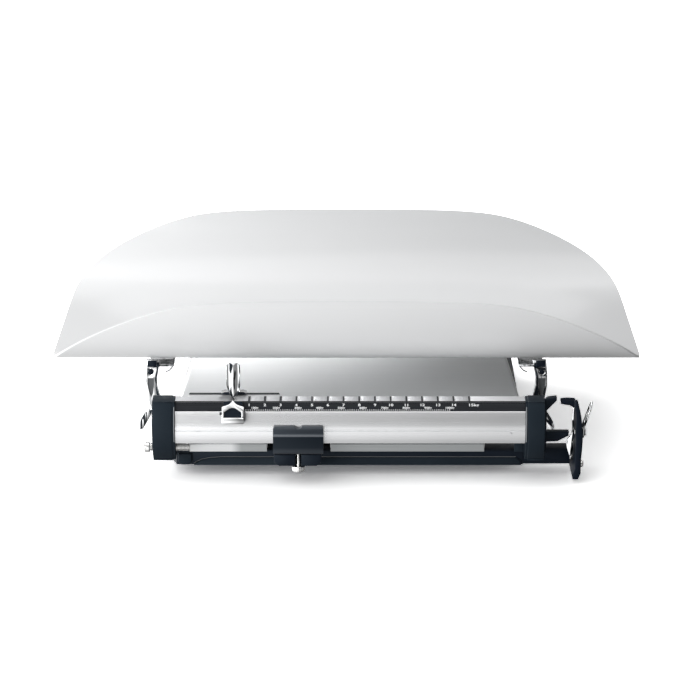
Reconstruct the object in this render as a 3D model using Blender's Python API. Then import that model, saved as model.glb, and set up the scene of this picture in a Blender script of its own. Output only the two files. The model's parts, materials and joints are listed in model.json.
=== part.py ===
"""Sliding-weight platform scale for small animals: an assembly of rigid parts.

Units are metres, +Z is up, and the feet stand on Z = 0.  X runs along the tray and the
beam (right is positive), and the user stands on the -Y side.  Dimensions are written in
millimetres and converted once, in the mesh helpers.
"""
import math

import bmesh
import bpy
from mathutils import Matrix, Vector

for stale in list(bpy.data.objects):
    bpy.data.objects.remove(stale, do_unlink=True)

MM = 0.001
GAP = 0.3                      # running gap between neighbouring pieces

# ---------------------------------------------------------------- driving dimensions (mm)
TRAY_Y = 22.0                  # tray centre line in Y
TRAY_Z = 84.3                  # underside of the tray's flat bottom
TRAY_SHEET = 2.0
# ribs of the tray's underside: distance from the centre line, rise, half length
TRAY_RIBS = (
    (45.0, 0.0, 268.9), (63.0, 0.4, 268.8), (78.0, 1.3, 268.4), (91.0, 3.1, 267.6),
    (102.0, 5.8, 266.2), (111.0, 9.2, 263.8), (118.2, 13.2, 260.4), (124.0, 17.6, 256.2),
    (128.9, 22.3, 251.0), (133.0, 27.2, 244.8), (136.4, 32.3, 237.5), (139.3, 37.7, 228.8),
    (141.8, 43.2, 218.8), (143.8, 48.8, 207.4), (145.4, 54.5, 194.4), (146.6, 60.2, 179.4),
    (147.4, 65.4, 162.5), (147.8, 69.4, 144.0), (147.9, 72.2, 118.0), (148.0, 73.6, 84.0),
    (148.0, 74.2, 42.0),
)

FOOT_R = 11.0
FOOT_H = 8.0
FRAME_BOTTOM = FOOT_H + GAP
FRAME_TOP = 21.6
FRAME_LEFT = -157.0
FRAME_RIGHT = 163.0
FRAME_FRONT = -136.0
FRAME_BACK = 162.0
FRAME_SIDE_RAIL = 12.0
FRAME_FRONT_RAIL = 46.0
FRAME_BACK_RAIL = 40.0
ARM_END = 200.6                # right end of the arm that carries the indicator bracket
ARM_TOP = 23.5

DECK_X = 3.0                   # centre of the steel cover
DECK_TOP = 54.0
DECK_SHEET = 1.2
DECK_FRONT = -134.5
DECK_BACK = 158.0
DECK_HALF_FRONT = 158.0
DECK_HALF_BACK = 144.0

BEAM_LEFT = -151.2
BEAM_RIGHT = 158.2
BEAM_BACK = -140.0
BEAM_WALL = 2.4
RAIL_TOP = 75.0
RAIL_THICK = 3.0
RAIL_FRONT = -152.2
NOTCH_ZERO = -99.7             # first notch of the kilogram rail
NOTCH_PITCH = 13.9
NOTCH_COUNT = 16
NOTCH_DEPTH = 1.5
NOTCH_HALF = 0.85
GRAM_TRAVEL = 191.3

CAP_BOTTOM = 20.2
CAP_TOP = 75.7
CAP_BACK = -139.0

FULCRUM_X = -30.0
FULCRUM_Z = 42.5
LINK_X = -55.0
KNIFE_BACK = -127.0

MAIN_FULCRUM_Y = 138.0
MAIN_FULCRUM_Z = 26.6
SHORT_FULCRUM_Y = -106.0
SHORT_FULCRUM_Z = 22.9
KNIFE_SPACING = 16.0           # fulcrum edge to load edge on both levers
CARRIER_BOTTOM = 41.0
CARRIER_TOP = 45.0
NOSE_Y = 16.0                  # where the short lever hangs on the main lever

LOCK_Y = -150.0                # axis of the beam lock
LOCK_Z = 45.0
ZERO_Y = -150.0                # axis of the balance screw
ZERO_Z = 30.7

PAINT = {}


def material(name, colour, rough, metal, coat=0.0):
    """One Principled material per sub-part."""
    mat = bpy.data.materials.new(name)
    mat.use_nodes = True
    shader = mat.node_tree.nodes["Principled BSDF"]
    shader.inputs["Base Color"].default_value = (*colour, 1.0)
    shader.inputs["Roughness"].default_value = rough
    shader.inputs["Metallic"].default_value = metal
    shader.inputs["Coat Weight"].default_value = coat
    mat.diffuse_color = (*colour, 1.0)
    return mat


FINISH = {
    "white": ((0.86, 0.87, 0.88), 0.28, 0.0, 0.4),
    "brushed": ((0.62, 0.63, 0.65), 0.34, 1.0, 0.0),
    "aluminium": ((0.80, 0.81, 0.83), 0.28, 1.0, 0.0),
    "chrome": ((0.82, 0.83, 0.84), 0.07, 1.0, 0.0),
    "black": ((0.018, 0.021, 0.026), 0.38, 0.0, 0.0),
    "satin_black": ((0.028, 0.033, 0.040), 0.48, 0.0, 0.0),
    "strip": ((0.012, 0.012, 0.014), 0.30, 0.0, 0.0),
    "steel": ((0.50, 0.50, 0.51), 0.36, 1.0, 0.0),
    "zinc": ((0.78, 0.78, 0.76), 0.22, 1.0, 0.0),
    "rubber": ((0.020, 0.020, 0.020), 0.80, 0.0, 0.0),
}


def add_object(name, mesh_bm, finish, pivot=None, closed=True):
    """Link a bmesh as one named node; a pivot puts its origin on the joint's axis."""
    if closed:
        bmesh.ops.recalc_face_normals(mesh_bm, faces=mesh_bm.faces)
    mesh = bpy.data.meshes.new(name)
    mesh_bm.to_mesh(mesh)
    mesh_bm.free()
    obj = bpy.data.objects.new(name, mesh)
    bpy.context.collection.objects.link(obj)
    if finish:
        mesh.materials.append(material(name, *FINISH[finish]))
    if pivot:
        centre = Vector(pivot) * MM
        mesh.transform(Matrix.Translation(-centre))
        obj.location = centre
    return obj


def on_axis(axis, pair, depth):
    """A point from two in-plane coordinates and the coordinate along the axis."""
    a, b = pair
    return {"X": (depth, a, b), "Y": (a, depth, b), "Z": (a, b, depth)}[axis]


def prism(name, outline, axis, low, high, finish=None, pivot=None):
    """Extrude a closed outline along X, Y or Z, between two depths."""
    bm = bmesh.new()
    first = [bm.verts.new(Vector(on_axis(axis, p, low)) * MM) for p in outline]
    face = bm.faces.new(first)
    grown = bmesh.ops.extrude_face_region(bm, geom=[face])
    moved = [v for v in grown["geom"] if isinstance(v, bmesh.types.BMVert)]
    shift = (Vector(on_axis(axis, (0.0, 0.0), high)) - Vector(on_axis(axis, (0.0, 0.0), low)))
    bmesh.ops.translate(bm, vec=shift * MM, verts=moved)
    return add_object(name, bm, finish, pivot)


def lean(obj, height, slope):
    """Bend a thin upright plate outwards above a given height."""
    bm = bmesh.new()
    bm.from_mesh(obj.data)
    level = height * MM - obj.location.z
    parts = bm.verts[:] + bm.edges[:] + bm.faces[:]
    bmesh.ops.bisect_plane(bm, geom=parts, plane_co=(0.0, 0.0, level), plane_no=(0.0, 0.0, 1.0))
    for vert in bm.verts:
        vert.co.x += max(0.0, vert.co.z - level) * slope
    bm.to_mesh(obj.data)
    bm.free()


def box(name, x, y, z, finish=None, pivot=None):
    """A box from its (low, high) spans."""
    outline = ((x[0], y[0]), (x[1], y[0]), (x[1], y[1]), (x[0], y[1]))
    return prism(name, outline, "Z", z[0], z[1], finish, pivot)


def turned(name, profile, centre, axis, finish=None, steps=28, tool=False):
    """Turn a profile of (radius, height) pairs, listed top to bottom, about an axis."""
    mesh = bpy.data.meshes.new(name)
    points = [(r * MM, 0.0, h * MM) for r, h in profile]
    mesh.from_pydata(points, [(i, i + 1) for i in range(len(points) - 1)], [])
    obj = bpy.data.objects.new(name, mesh)
    bpy.context.collection.objects.link(obj)
    turn = {"Z": (0.0, 0.0, 0.0), "X": (0.0, math.pi / 2, 0.0), "Y": (-math.pi / 2, 0.0, 0.0)}
    obj.rotation_euler = turn[axis]
    obj.location = Vector(centre) * MM
    screw = obj.modifiers.new("turned", "SCREW")
    screw.steps = steps
    screw.render_steps = steps
    screw.use_merge_vertices = True
    screw.merge_threshold = 0.00001
    screw.use_smooth_shade = True
    if finish:
        mesh.materials.append(material(name, *FINISH[finish]))
    if tool:
        hide(obj)
    return obj


def hide(obj):
    """Mark an object as a tool body that is not part of the product."""
    obj.hide_render = True
    obj.display_type = "WIRE"
    return obj


def combine(obj, tool, operation):
    """Join or cut with an exact boolean; the tool body is hidden."""
    hide(tool)
    step = obj.modifiers.new(operation.lower(), "BOOLEAN")
    step.operation = operation
    step.solver = "EXACT"
    step.object = tool
    return obj


def soften(obj, width, segments=2, angle=35.0):
    """Round the sharp edges."""
    edge = obj.modifiers.new("soften", "BEVEL")
    edge.width = width * MM
    edge.segments = segments
    edge.limit_method = "ANGLE"
    edge.angle_limit = math.radians(angle)
    edge.miter_outer = "MITER_ARC"
    edge.use_clamp_overlap = True
    return obj


def arc(centre, radius, start, stop, count):
    """Points along a circular arc, angles in degrees."""
    points = []
    for i in range(count + 1):
        a = math.radians(start + (stop - start) * i / count)
        points.append((centre[0] + radius * math.cos(a), centre[1] + radius * math.sin(a)))
    return points


def slanted_prism(name, ends, low, high, finish=None):
    """A slab whose plan is a trapezoid: ends are (y, left x, right x) at front and back."""
    (y0, l0, r0), (y1, l1, r1) = ends
    return prism(name, ((l0, y0), (r0, y0), (r1, y1), (l1, y1)), "Z", low, high, finish)


# ---------------------------------------------------------------- tray
def build_tray():
    """A trough of constant section whose ends sweep in towards the raised rims."""
    ribs = [(-y, z, x) for y, z, x in reversed(TRAY_RIBS)] + list(TRAY_RIBS)
    bm = bmesh.new()
    rows = []
    for y, z, half in ribs:
        row = [bm.verts.new(Vector((side * half, y + TRAY_Y, z + TRAY_Z)) * MM) for side in (-1, 1)]
        rows.append(row)
    for lower, upper in zip(rows, rows[1:]):
        bm.faces.new((lower[0], lower[1], upper[1], upper[0]))
    tray = add_object("tray", bm, "white", closed=False)
    sheet = tray.modifiers.new("sheet", "SOLIDIFY")
    sheet.thickness = TRAY_SHEET * MM
    sheet.offset = 1.0
    sheet.use_even_offset = True
    return tray


# ---------------------------------------------------------------- base
def build_base():
    """Black base frame with the arm for the indicator, on four rubber feet."""
    corner = 5.0
    outline = (
        (FRAME_LEFT, FRAME_FRONT + 12.0), (FRAME_LEFT + corner, FRAME_FRONT),
        (FRAME_RIGHT - corner, FRAME_FRONT), (FRAME_RIGHT, FRAME_FRONT + 12.0),
        (FRAME_RIGHT, FRAME_BACK - corner), (FRAME_RIGHT - corner, FRAME_BACK),
        (FRAME_LEFT + corner, FRAME_BACK), (FRAME_LEFT, FRAME_BACK - corner),
    )
    frame = prism("base_frame", outline, "Z", FRAME_BOTTOM, FRAME_TOP, "black")
    window = box(
        "tool_frame_window",
        (FRAME_LEFT + FRAME_SIDE_RAIL, FRAME_RIGHT - FRAME_SIDE_RAIL),
        (FRAME_FRONT + FRAME_FRONT_RAIL, FRAME_BACK - FRAME_BACK_RAIL),
        (FRAME_BOTTOM - 5.0, FRAME_TOP + 5.0))
    combine(frame, window, "DIFFERENCE")
    arm_outline = (
        (FRAME_RIGHT - 20.0, FRAME_BOTTOM + 0.5), (ARM_END, FRAME_BOTTOM + 0.5), (ARM_END, ARM_TOP),
        (FRAME_RIGHT + 1.0, ARM_TOP), (FRAME_RIGHT - 1.4, FRAME_TOP - 0.3),
        (FRAME_RIGHT - 20.0, FRAME_TOP - 0.3))
    arm = prism("tool_frame_arm", arm_outline, "Y", FRAME_FRONT + 0.5, -122.0)
    combine(frame, arm, "UNION")
    soften(frame, 1.4, 2)
    for side, x in (("l", FRAME_LEFT + 32.0), ("r", FRAME_RIGHT - 32.0)):
        for end, y in (("f", FRAME_FRONT + 38.0), ("b", FRAME_BACK - 20.0)):
            profile = ((0.0, FOOT_H), (FOOT_R, FOOT_H), (FOOT_R, 3.0), (FOOT_R - 1.0, 0.0), (0.0, 0.0))
            turned(f"foot_{end}{side}", profile, (x, y, 0.0), "Z", "rubber", 20)


def build_deck():
    """Brushed steel cover: a folded sheet with rounded side edges and open windows."""
    low = FRAME_TOP + GAP
    outer_ends = (
        (DECK_FRONT, DECK_X - DECK_HALF_FRONT, DECK_X + DECK_HALF_FRONT),
        (DECK_BACK, DECK_X - DECK_HALF_BACK, DECK_X + DECK_HALF_BACK))
    cover = slanted_prism("deck_cover", outer_ends, low, DECK_TOP, "brushed")
    soften(cover, 4.0, 3, 60.0)
    t = DECK_SHEET
    inner_ends = (
        (DECK_FRONT + t, DECK_X - DECK_HALF_FRONT + t, DECK_X + DECK_HALF_FRONT - t),
        (DECK_BACK - t, DECK_X - DECK_HALF_BACK + t, DECK_X + DECK_HALF_BACK - t))
    inside = slanted_prism("tool_deck_inside", inner_ends, low - 6.0, DECK_TOP - t)
    soften(inside, 3.0, 3, 60.0)
    combine(cover, inside, "DIFFERENCE")
    windows = (
        ("beam", (-70.6, -14.3), (DECK_FRONT - 3.0, DECK_FRONT + 6.0), 50.0),
        ("right", (124.0, 152.0), (DECK_FRONT - 3.0, DECK_FRONT + 6.0), 48.0),
        ("arm_front", (DECK_X - 175.0, DECK_X + 175.0), (-88.0, -68.0), 49.0),
        ("arm_back", (DECK_X - 175.0, DECK_X + 175.0), (112.0, 132.0), 49.0),
    )
    for tag, x, y, top in windows:
        combine(cover, box("tool_deck_" + tag, x, y, (low - 3.0, top)), "DIFFERENCE")
    return cover


def build_indicator_bracket():
    """Bowed black post at the right with the fixed pointer at its head."""
    post_outline = (
        (200.9, 4.6), (200.9, 8.0), (203.2, 14.0), (203.2, 64.0), (202.0, 70.0), (202.0, 76.6),
        (204.2, 75.2), (206.2, 69.0), (207.8, 60.0), (209.0, 48.0), (209.2, 40.0), (208.6, 28.0),
        (208.2, 24.0), (208.2, 10.0), (206.0, 4.0), (201.2, 4.0))
    post = prism("indicator_bracket", post_outline, "Y", -162.0, -126.0, "black")
    pointer_outline = (
        (190.4, 73.2), (190.2, 76.4), (196.0, 77.0), (203.0, 76.4), (205.0, 72.0),
        (204.5, 69.0), (202.9, 69.8), (198.0, 71.8))
    pointer = prism("tool_fixed_pointer", pointer_outline, "Y", -146.0, -134.0)
    combine(post, pointer, "UNION")
    bore = turned("tool_post_bore", ((0.0, 20.0), (2.4, 20.0), (2.4, -20.0), (0.0, -20.0)),
                  (206.0, LOCK_Y, LOCK_Z), "X", None, 20, True)
    combine(post, bore, "DIFFERENCE")
    soften(post, 0.7, 2)
    for tag, y in (("a", -132.0), ("b", -156.0)):
        profile = ((0.0, 2.2), (2.2, 2.2), (3.2, 1.2), (3.2, 0.0), (0.0, 0.0))
        turned(f"bracket_screw_{tag}", profile, (208.2 + GAP, y, 17.0), "X", "zinc", 20)


def build_stands():
    """Hardened V bearings: one under the beam and four under the levers."""
    low = FRAME_TOP + GAP
    x, z = FULCRUM_X, FULCRUM_Z
    outline = (
        (x - 8.0, low), (x + 8.0, low), (x + 5.5, z + 2.6), (x + 3.2, z + 2.6), (x, z - GAP),
        (x - 3.2, z + 2.6), (x - 5.5, z + 2.6))
    prism("beam_stand", outline, "Y", -133.0, KNIFE_BACK, "steel")
    rows = (("f", SHORT_FULCRUM_Y, SHORT_FULCRUM_Z), ("b", MAIN_FULCRUM_Y, MAIN_FULCRUM_Z))
    for end, y, z in rows:
        outline = ((y - 8.0, low), (y + 8.0, low), (y + 6.0, z + 2.4), (y + 3.0, z + 2.4),
                   (y, z - GAP), (y - 3.0, z + 2.4), (y - 6.0, z + 2.4))
        for side, x0 in (("l", -116.0), ("r", 114.0)):
            prism(f"lever_stand_{end}{side}", outline, "X", x0, x0 + 8.0, "steel")


# ---------------------------------------------------------------- levers under the cover
def frame_lever(name, y_bar, y_nose, x_nose, half_nose, z, finish="steel", cross=None):
    """A flat lever: a wide bar at one end, two legs, and a narrow nose at the other."""
    back = 1.0 if y_bar > y_nose else -1.0
    outline = (
        (-112.0, y_bar + 6.0 * back), (118.0, y_bar + 6.0 * back), (118.0, y_bar - 20.0 * back),
        (x_nose + 12.0, y_nose + 36.0 * back), (x_nose + half_nose, y_nose + 30.0 * back),
        (x_nose + half_nose, y_nose), (x_nose - half_nose, y_nose),
        (x_nose - half_nose, y_nose + 30.0 * back), (x_nose - 12.0, y_nose + 36.0 * back),
        (-112.0, y_bar - 20.0 * back))
    lever = prism(name, outline, "Z", z, z + 4.0, finish, (0.0, y_bar, z))
    inner = (
        (-98.0, y_bar - 22.0 * back), (104.0, y_bar - 22.0 * back),
        (x_nose + 5.0, y_nose + 46.0 * back), (x_nose - 5.0, y_nose + 46.0 * back))
    cut = prism(f"tool_{name}_window", inner, "Z", z - 5.0, z + 9.0)
    combine(lever, cut, "DIFFERENCE")
    if cross:
        (x0, x1), x_tongue, y_tip = cross
        bar = (
            (x0, y_tip + 14.0), (x_tongue - 2.4, y_tip + 14.0), (x_tongue - 2.4, y_tip), (x_tongue + 2.4, y_tip),
            (x_tongue + 2.4, y_tip + 14.0), (x1, y_tip + 14.0), (x1, y_tip + 22.0), (x0, y_tip + 22.0))
        combine(lever, prism(f"tool_{name}_cross", bar, "Z", z + 0.2, z + 3.8), "UNION")
    return lever


def build_levers():
    """Main lever (fulcrum at the back), short lever (fulcrum at the front) and their links."""
    y, z = MAIN_FULCRUM_Y, MAIN_FULCRUM_Z
    pivot = (0.0, y, z)
    plate = 32.0
    frame_lever("main_lever", y, -134.0, LINK_X, 2.4, plate, cross=((-74.0, 42.0), 6.0, NOSE_Y - 4.0))
    edge_down = ((y - 2.2, plate - GAP), (y + 2.2, plate - GAP), (y + 2.2, z + 3.4), (y, z), (y - 2.2, z + 3.4))
    prism("main_fulcrum_knife", edge_down, "X", -118.0, 124.0, "steel", pivot)
    y_load = y - KNIFE_SPACING
    top = CARRIER_BOTTOM - 2.0
    edge_up = ((y_load - 2.0, plate + 4.0 + GAP), (y_load + 2.0, plate + 4.0 + GAP), (y_load, top))
    prism("main_load_knife", edge_up, "X", -110.0, 116.0, "steel", pivot)

    y, z = SHORT_FULCRUM_Y, SHORT_FULCRUM_Z
    pivot = (0.0, y, z)
    plate = 26.0
    frame_lever("short_lever", y, NOSE_Y + 5.0, 6.0, 3.0, plate)
    edge_down = ((y - 2.0, plate - GAP), (y + 2.0, plate - GAP), (y, z))
    prism("short_fulcrum_knife", edge_down, "X", -118.0, 124.0, "steel", pivot)
    y_load = y + KNIFE_SPACING
    edge_up = ((y_load - 2.5, plate + 4.0 + GAP), (y_load + 2.5, plate + 4.0 + GAP),
               (y_load + 2.0, top - 3.0), (y_load, top), (y_load - 2.0, top - 3.0))
    for side, x0, x1 in (("l", -110.0, -90.0), ("r", 96.0, 116.0)):
        prism(f"short_load_knife_{side}", edge_up, "X", x0, x1, "steel", pivot)

    loop_link("load_link", LINK_X, 6.6, 3.0, (27.4, 31.7, 46.7, 49.6), (-132.6, -128.6))
    loop_link("mid_link", 6.0, 7.4, 4.0, (22.4, 25.7, 36.3, 39.4), (NOSE_Y - 2.0, NOSE_Y + 2.0))


def loop_link(name, x, outer, inner, z, y):
    """A closed stirrup that joins two levers."""
    body = box(name, (x - outer, x + outer), y, (z[0], z[3]), "steel")
    hole = box(f"tool_{name}_eye", (x - inner, x + inner), (y[0] - 3.0, y[1] + 3.0), (z[1], z[2]))
    combine(body, hole, "DIFFERENCE")
    return body


def build_carrier():
    """Steel cross frame that rides on the load edges and carries the tray brackets."""
    y_front = SHORT_FULCRUM_Y + KNIFE_SPACING
    y_back = MAIN_FULCRUM_Y - KNIFE_SPACING
    arm_f = (-85.0, -72.0)
    arm_b = (115.0, 128.0)
    left, right = -128.0, 134.0
    reach_l, reach_r = -171.0, 177.0
    outline = (
        (left, y_front - 8.0), (right, y_front - 8.0), (right, arm_f[0]), (reach_r, arm_f[0]),
        (reach_r, arm_f[1]), (right, arm_f[1]), (right, arm_b[0]), (reach_r, arm_b[0]),
        (reach_r, arm_b[1]), (right, arm_b[1]), (left, arm_b[1]), (reach_l, arm_b[1]),
        (reach_l, arm_b[0]), (left, arm_b[0]), (left, arm_f[1]), (reach_l, arm_f[1]),
        (reach_l, arm_f[0]), (left, arm_f[0]))
    outline = tuple(p for i, p in enumerate(outline) if p != outline[i - 1])
    carrier = prism("carrier", outline, "Z", CARRIER_BOTTOM, CARRIER_TOP, "steel")
    hole = box("tool_carrier_window", (left + 14.0, right - 14.0), (arm_f[1] + 2.0, arm_b[0] - 2.0),
               (CARRIER_BOTTOM - 4.0, CARRIER_TOP + 4.0))
    combine(carrier, hole, "DIFFERENCE")
    knife = CARRIER_BOTTOM - 2.0
    for end, y in (("f", y_front), ("b", y_back)):
        top = CARRIER_BOTTOM - GAP
        outline = ((y - 4.5, top), (y - 4.5, top - 3.2), (y - 1.6, top - 3.2), (y, knife + GAP),
                   (y + 1.6, top - 3.2), (y + 4.5, top - 3.2), (y + 4.5, top))
        for side, x0 in (("l", -108.0), ("r", 98.0)):
            prism(f"carrier_bearing_{end}{side}", outline, "X", x0, x0 + 12.0, "steel")


def build_brackets():
    """Chrome legs under the tray's corners, with a leaf clip on the two front ones."""
    for end, y_plate, y_flange in (("f", (-88.3, -85.3), (-88.3, -68.0)), ("b", (128.3, 131.3), (112.0, 131.3))):
        for side, s in (("l", -1.0), ("r", 1.0)):
            outline = [
                (181.0, 91.0), (182.4, 78.0), (182.4, 66.0), (181.0, 56.0), (178.4, 46.0), (176.0, 37.0),
                (172.0, 32.0), (164.0, 31.0), (160.5, 34.0), (160.5, 41.0), (164.0, 47.0), (169.0, 55.0),
                (171.8, 66.0), (171.6, 74.0), (168.4, 91.0)]
            leg = prism(f"bracket_{end}{side}", [(s * x, z) for x, z in outline], "Y", *y_plate, "chrome")
            spans = sorted((s * 179.0, s * 156.0))
            combine(leg, box(f"tool_flange_{end}{side}", spans, y_flange, (84.2, 86.6)), "UNION")
            hole = turned(f"tool_leg_hole_{end}{side}", ((0.0, 12.0), (2.5, 12.0), (2.5, -12.0), (0.0, -12.0)),
                          (s * 177.4, sum(y_plate) / 2.0, 79.5), "Y", None, 18, True)
            combine(leg, hole, "DIFFERENCE")
            soften(leg, 0.8, 2)
    for side, s in (("l", -1.0), ("r", 1.0)):
        outline = [(176.5, 43.0), (179.5, 44.0), (184.0, 40.0), (188.5, 32.0), (190.0, 26.5), (188.6, 24.0),
                   (185.6, 25.0), (181.5, 32.0), (178.0, 38.5)]
        leaf = prism(f"leaf_clip_{side}", [(s * x, z) for x, z in outline], "Y", -90.4, -88.6, "chrome")
        soften(leaf, 0.5, 2)


# ---------------------------------------------------------------- beam
# front face of the beam as (y, z), from under the scale strip down to the lower lip
BEAM_FACE = (
    (-156.3, 66.9), (-157.6, 66.4), (-160.0, 60.0), (-161.5, 54.5), (-161.9, 51.3), (-161.1, 50.9),
    (-161.1, 50.2), (-161.95, 49.8), (-162.0, 46.0), (-161.6, 42.0), (-160.8, 38.3))


def build_beam():
    """Aluminium tube with a convex front, the notched rail on top and the scale strip."""
    under_rail = RAIL_TOP - RAIL_THICK - GAP
    outline = [(BEAM_BACK, under_rail), (RAIL_FRONT + 0.6, under_rail), *BEAM_FACE]
    outline += [(-158.4, 38.3), (-158.4, 44.2), (-155.6, 44.2), (-155.6, 37.4), (BEAM_BACK, 37.4)]
    ledge = [(BEAM_BACK, 57.0), (-131.6, 57.0), (-131.6, 59.0), (BEAM_BACK, 59.0)]
    beam = prism("beam_profile", outline + ledge, "X", BEAM_LEFT, BEAM_RIGHT, "aluminium")
    w = BEAM_WALL
    cavity = [
        (BEAM_BACK - w, 69.2), (-151.6, 69.2), (-153.8, 66.0), (-157.2, 59.4), (-158.8, 54.0), (-158.8, 46.8),
        (-153.2, 46.8), (-153.2, 39.8), (BEAM_BACK - w, 39.8)]
    tube = prism("tool_beam_cavity", cavity, "X", BEAM_LEFT - 4.0, BEAM_RIGHT + 4.0)
    combine(beam, tube, "DIFFERENCE")

    low, top = RAIL_TOP - RAIL_THICK, RAIL_TOP
    points = [(BEAM_LEFT, low), (BEAM_RIGHT, low), (BEAM_RIGHT, top)]
    for i in reversed(range(NOTCH_COUNT)):
        x = NOTCH_ZERO + i * NOTCH_PITCH
        points += [(x + NOTCH_HALF, top), (x, top - NOTCH_DEPTH), (x - NOTCH_HALF, top)]
    points += [(BEAM_LEFT, top)]
    prism("notch_rail", points, "Y", RAIL_FRONT, BEAM_BACK - 0.2, "aluminium")

    n = Vector((-7.1, 4.8)).normalized()
    a = Vector((-152.7, 73.6))
    b = Vector((-157.1, 67.3))
    face = [a, b, b - n * 0.7, a - n * 0.7]
    prism("scale_strip", [tuple(p + n * 0.2) for p in face], "X", BEAM_LEFT, BEAM_RIGHT, "strip")

    cap_front = arc((-123.2, 47.95), 41.9, 180.0 - 40.0, 180.0 + 40.0, 10)
    for side, x0, x1 in (("left", -171.5, BEAM_LEFT - GAP), ("right", BEAM_RIGHT + GAP, 175.3)):
        outline = [(CAP_BACK, CAP_TOP)] + [(y, z) for y, z in cap_front] + [(CAP_BACK, CAP_BOTTOM)]
        outline[1] = (outline[1][0], CAP_TOP - 0.4)
        outline[-2] = (outline[-2][0], CAP_BOTTOM + 0.4)
        cap = prism(f"cap_{side}", outline, "X", x0, x1, "satin_black")
        if side == "left":
            bore = turned("tool_cap_bore", ((0.0, 20.0), (4.1, 20.0), (4.1, -20.0), (0.0, -20.0)),
                          (-161.0, ZERO_Y, ZERO_Z), "X", None, 24, True)
            combine(cap, bore, "DIFFERENCE")
        soften(cap, 2.2, 3, 50.0)

    end_outline = [
        (175.6, 24.0), (178.0, 24.0), (178.0, 34.2), (188.0, 34.6), (197.8, 40.0), (198.2, 43.6), (178.0, 43.8),
        (178.0, 64.0), (186.4, 73.0), (186.7, 76.2), (180.0, 75.4), (177.0, 74.6), (175.6, 73.6)]
    end_plate = prism("beam_end_plate", end_outline, "Y", -147.0, -140.0, "black")
    soften(end_plate, 0.5, 2)

    y_plate = (BEAM_BACK + GAP, BEAM_BACK + 3.3)
    box("knife_plate", (-68.0, -18.0), y_plate, (39.0, 56.0), "steel")
    y_knife = (y_plate[1] + GAP, KNIFE_BACK + 0.5)
    x, z = FULCRUM_X, FULCRUM_Z
    edge_down = ((x, z), (x + 2.2, z + 2.8), (x + 2.2, z + 5.0), (x - 2.2, z + 5.0), (x - 2.2, z + 2.8))
    prism("fulcrum_knife", edge_down, "Y", *y_knife, "steel")
    x = LINK_X
    edge_up = ((x, 46.4), (x - 2.2, 43.6), (x - 2.2, 41.0), (x + 2.2, 41.0), (x + 2.2, 43.6))
    prism("load_knife", edge_up, "Y", *y_knife, "steel")


def build_zero_screw():
    """Fine balance screw in the left cap."""
    rod = ((0.0, 36.0), (3.2, 36.0), (3.75, 35.4), (3.75, 1.4), (3.2, 0.6), (0.0, 0.6))
    turned("zero_rod", rod, (-175.0, ZERO_Y, ZERO_Z), "X", "zinc", 24)
    head = ((0.0, 5.0), (4.2, 5.0), (4.7, 4.4), (4.7, 0.6), (4.2, 0.0), (0.0, 0.0))
    knob = turned("zero_knob", head, (-179.7, ZERO_Y, ZERO_Z), "X", "zinc", 28)
    slot = box("tool_zero_slot", (-181.0, -178.2), (ZERO_Y - 6.0, ZERO_Y + 6.0), (ZERO_Z - 0.7, ZERO_Z + 0.7))
    combine(knob, slot, "DIFFERENCE")


# ---------------------------------------------------------------- sliding weights
def build_kilo_poise():
    """Long weight bar behind the rail, a black saddle and the chrome pointer handle."""
    x = NOTCH_ZERO
    pivot = (x, -136.0, RAIL_TOP)
    box("kilo_bar", (x - 40.5, x + 40.5), (BEAM_BACK + GAP, -132.0), (59.0 + GAP, 76.2), "steel", pivot)
    pad = box("kilo_saddle", (x - 11.0, x + 11.0), (-147.0, -132.4), (76.2 + GAP, 79.2), "black", pivot)
    soften(pad, 0.6, 2)
    outline = (
        (x, 75.4), (x + 3.4, 84.0), (x + 5.8, 91.0), (x + 6.0, 101.0), (x + 4.6, 107.4), (x, 109.6),
        (x - 4.6, 107.4), (x - 6.0, 101.0), (x - 5.8, 91.0), (x - 3.4, 84.0))
    handle = prism("kilo_handle", outline, "Y", -150.6, -147.3, "chrome", pivot)
    soften(handle, 0.9, 2, 50.0)


def build_gram_poise():
    """Chrome slider on the front of the beam with a roof-shaped index."""
    x = NOTCH_ZERO - 0.3
    outline = (
        (-152.8, 75.6), (-156.2, 76.0), (-161.2, 70.4), (-161.6, 68.4), (-162.4, 62.4), (-165.6, 61.6),
        (-166.6, 60.2), (-165.4, 58.6), (-161.2, 58.4), (-160.4, 60.4), (-158.0, 66.9), (-157.6, 68.1),
        (-153.1, 74.6))
    slider = prism("gram_poise", outline, "X", x - 9.5, x + 9.5, "chrome", (x, -160.0, 67.0))
    for side in (-1.0, 1.0):
        wedge = [(x + side * 0.4, 77.5), (x + side * 14.0, 77.5), (x + side * 14.0, 69.0), (x + side * 9.7, 70.0)]
        cut = prism(f"tool_roof_{'l' if side < 0 else 'r'}", wedge, "Y", -175.0, -145.0)
        combine(slider, cut, "DIFFERENCE")
    soften(slider, 0.5, 2, 40.0)


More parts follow.
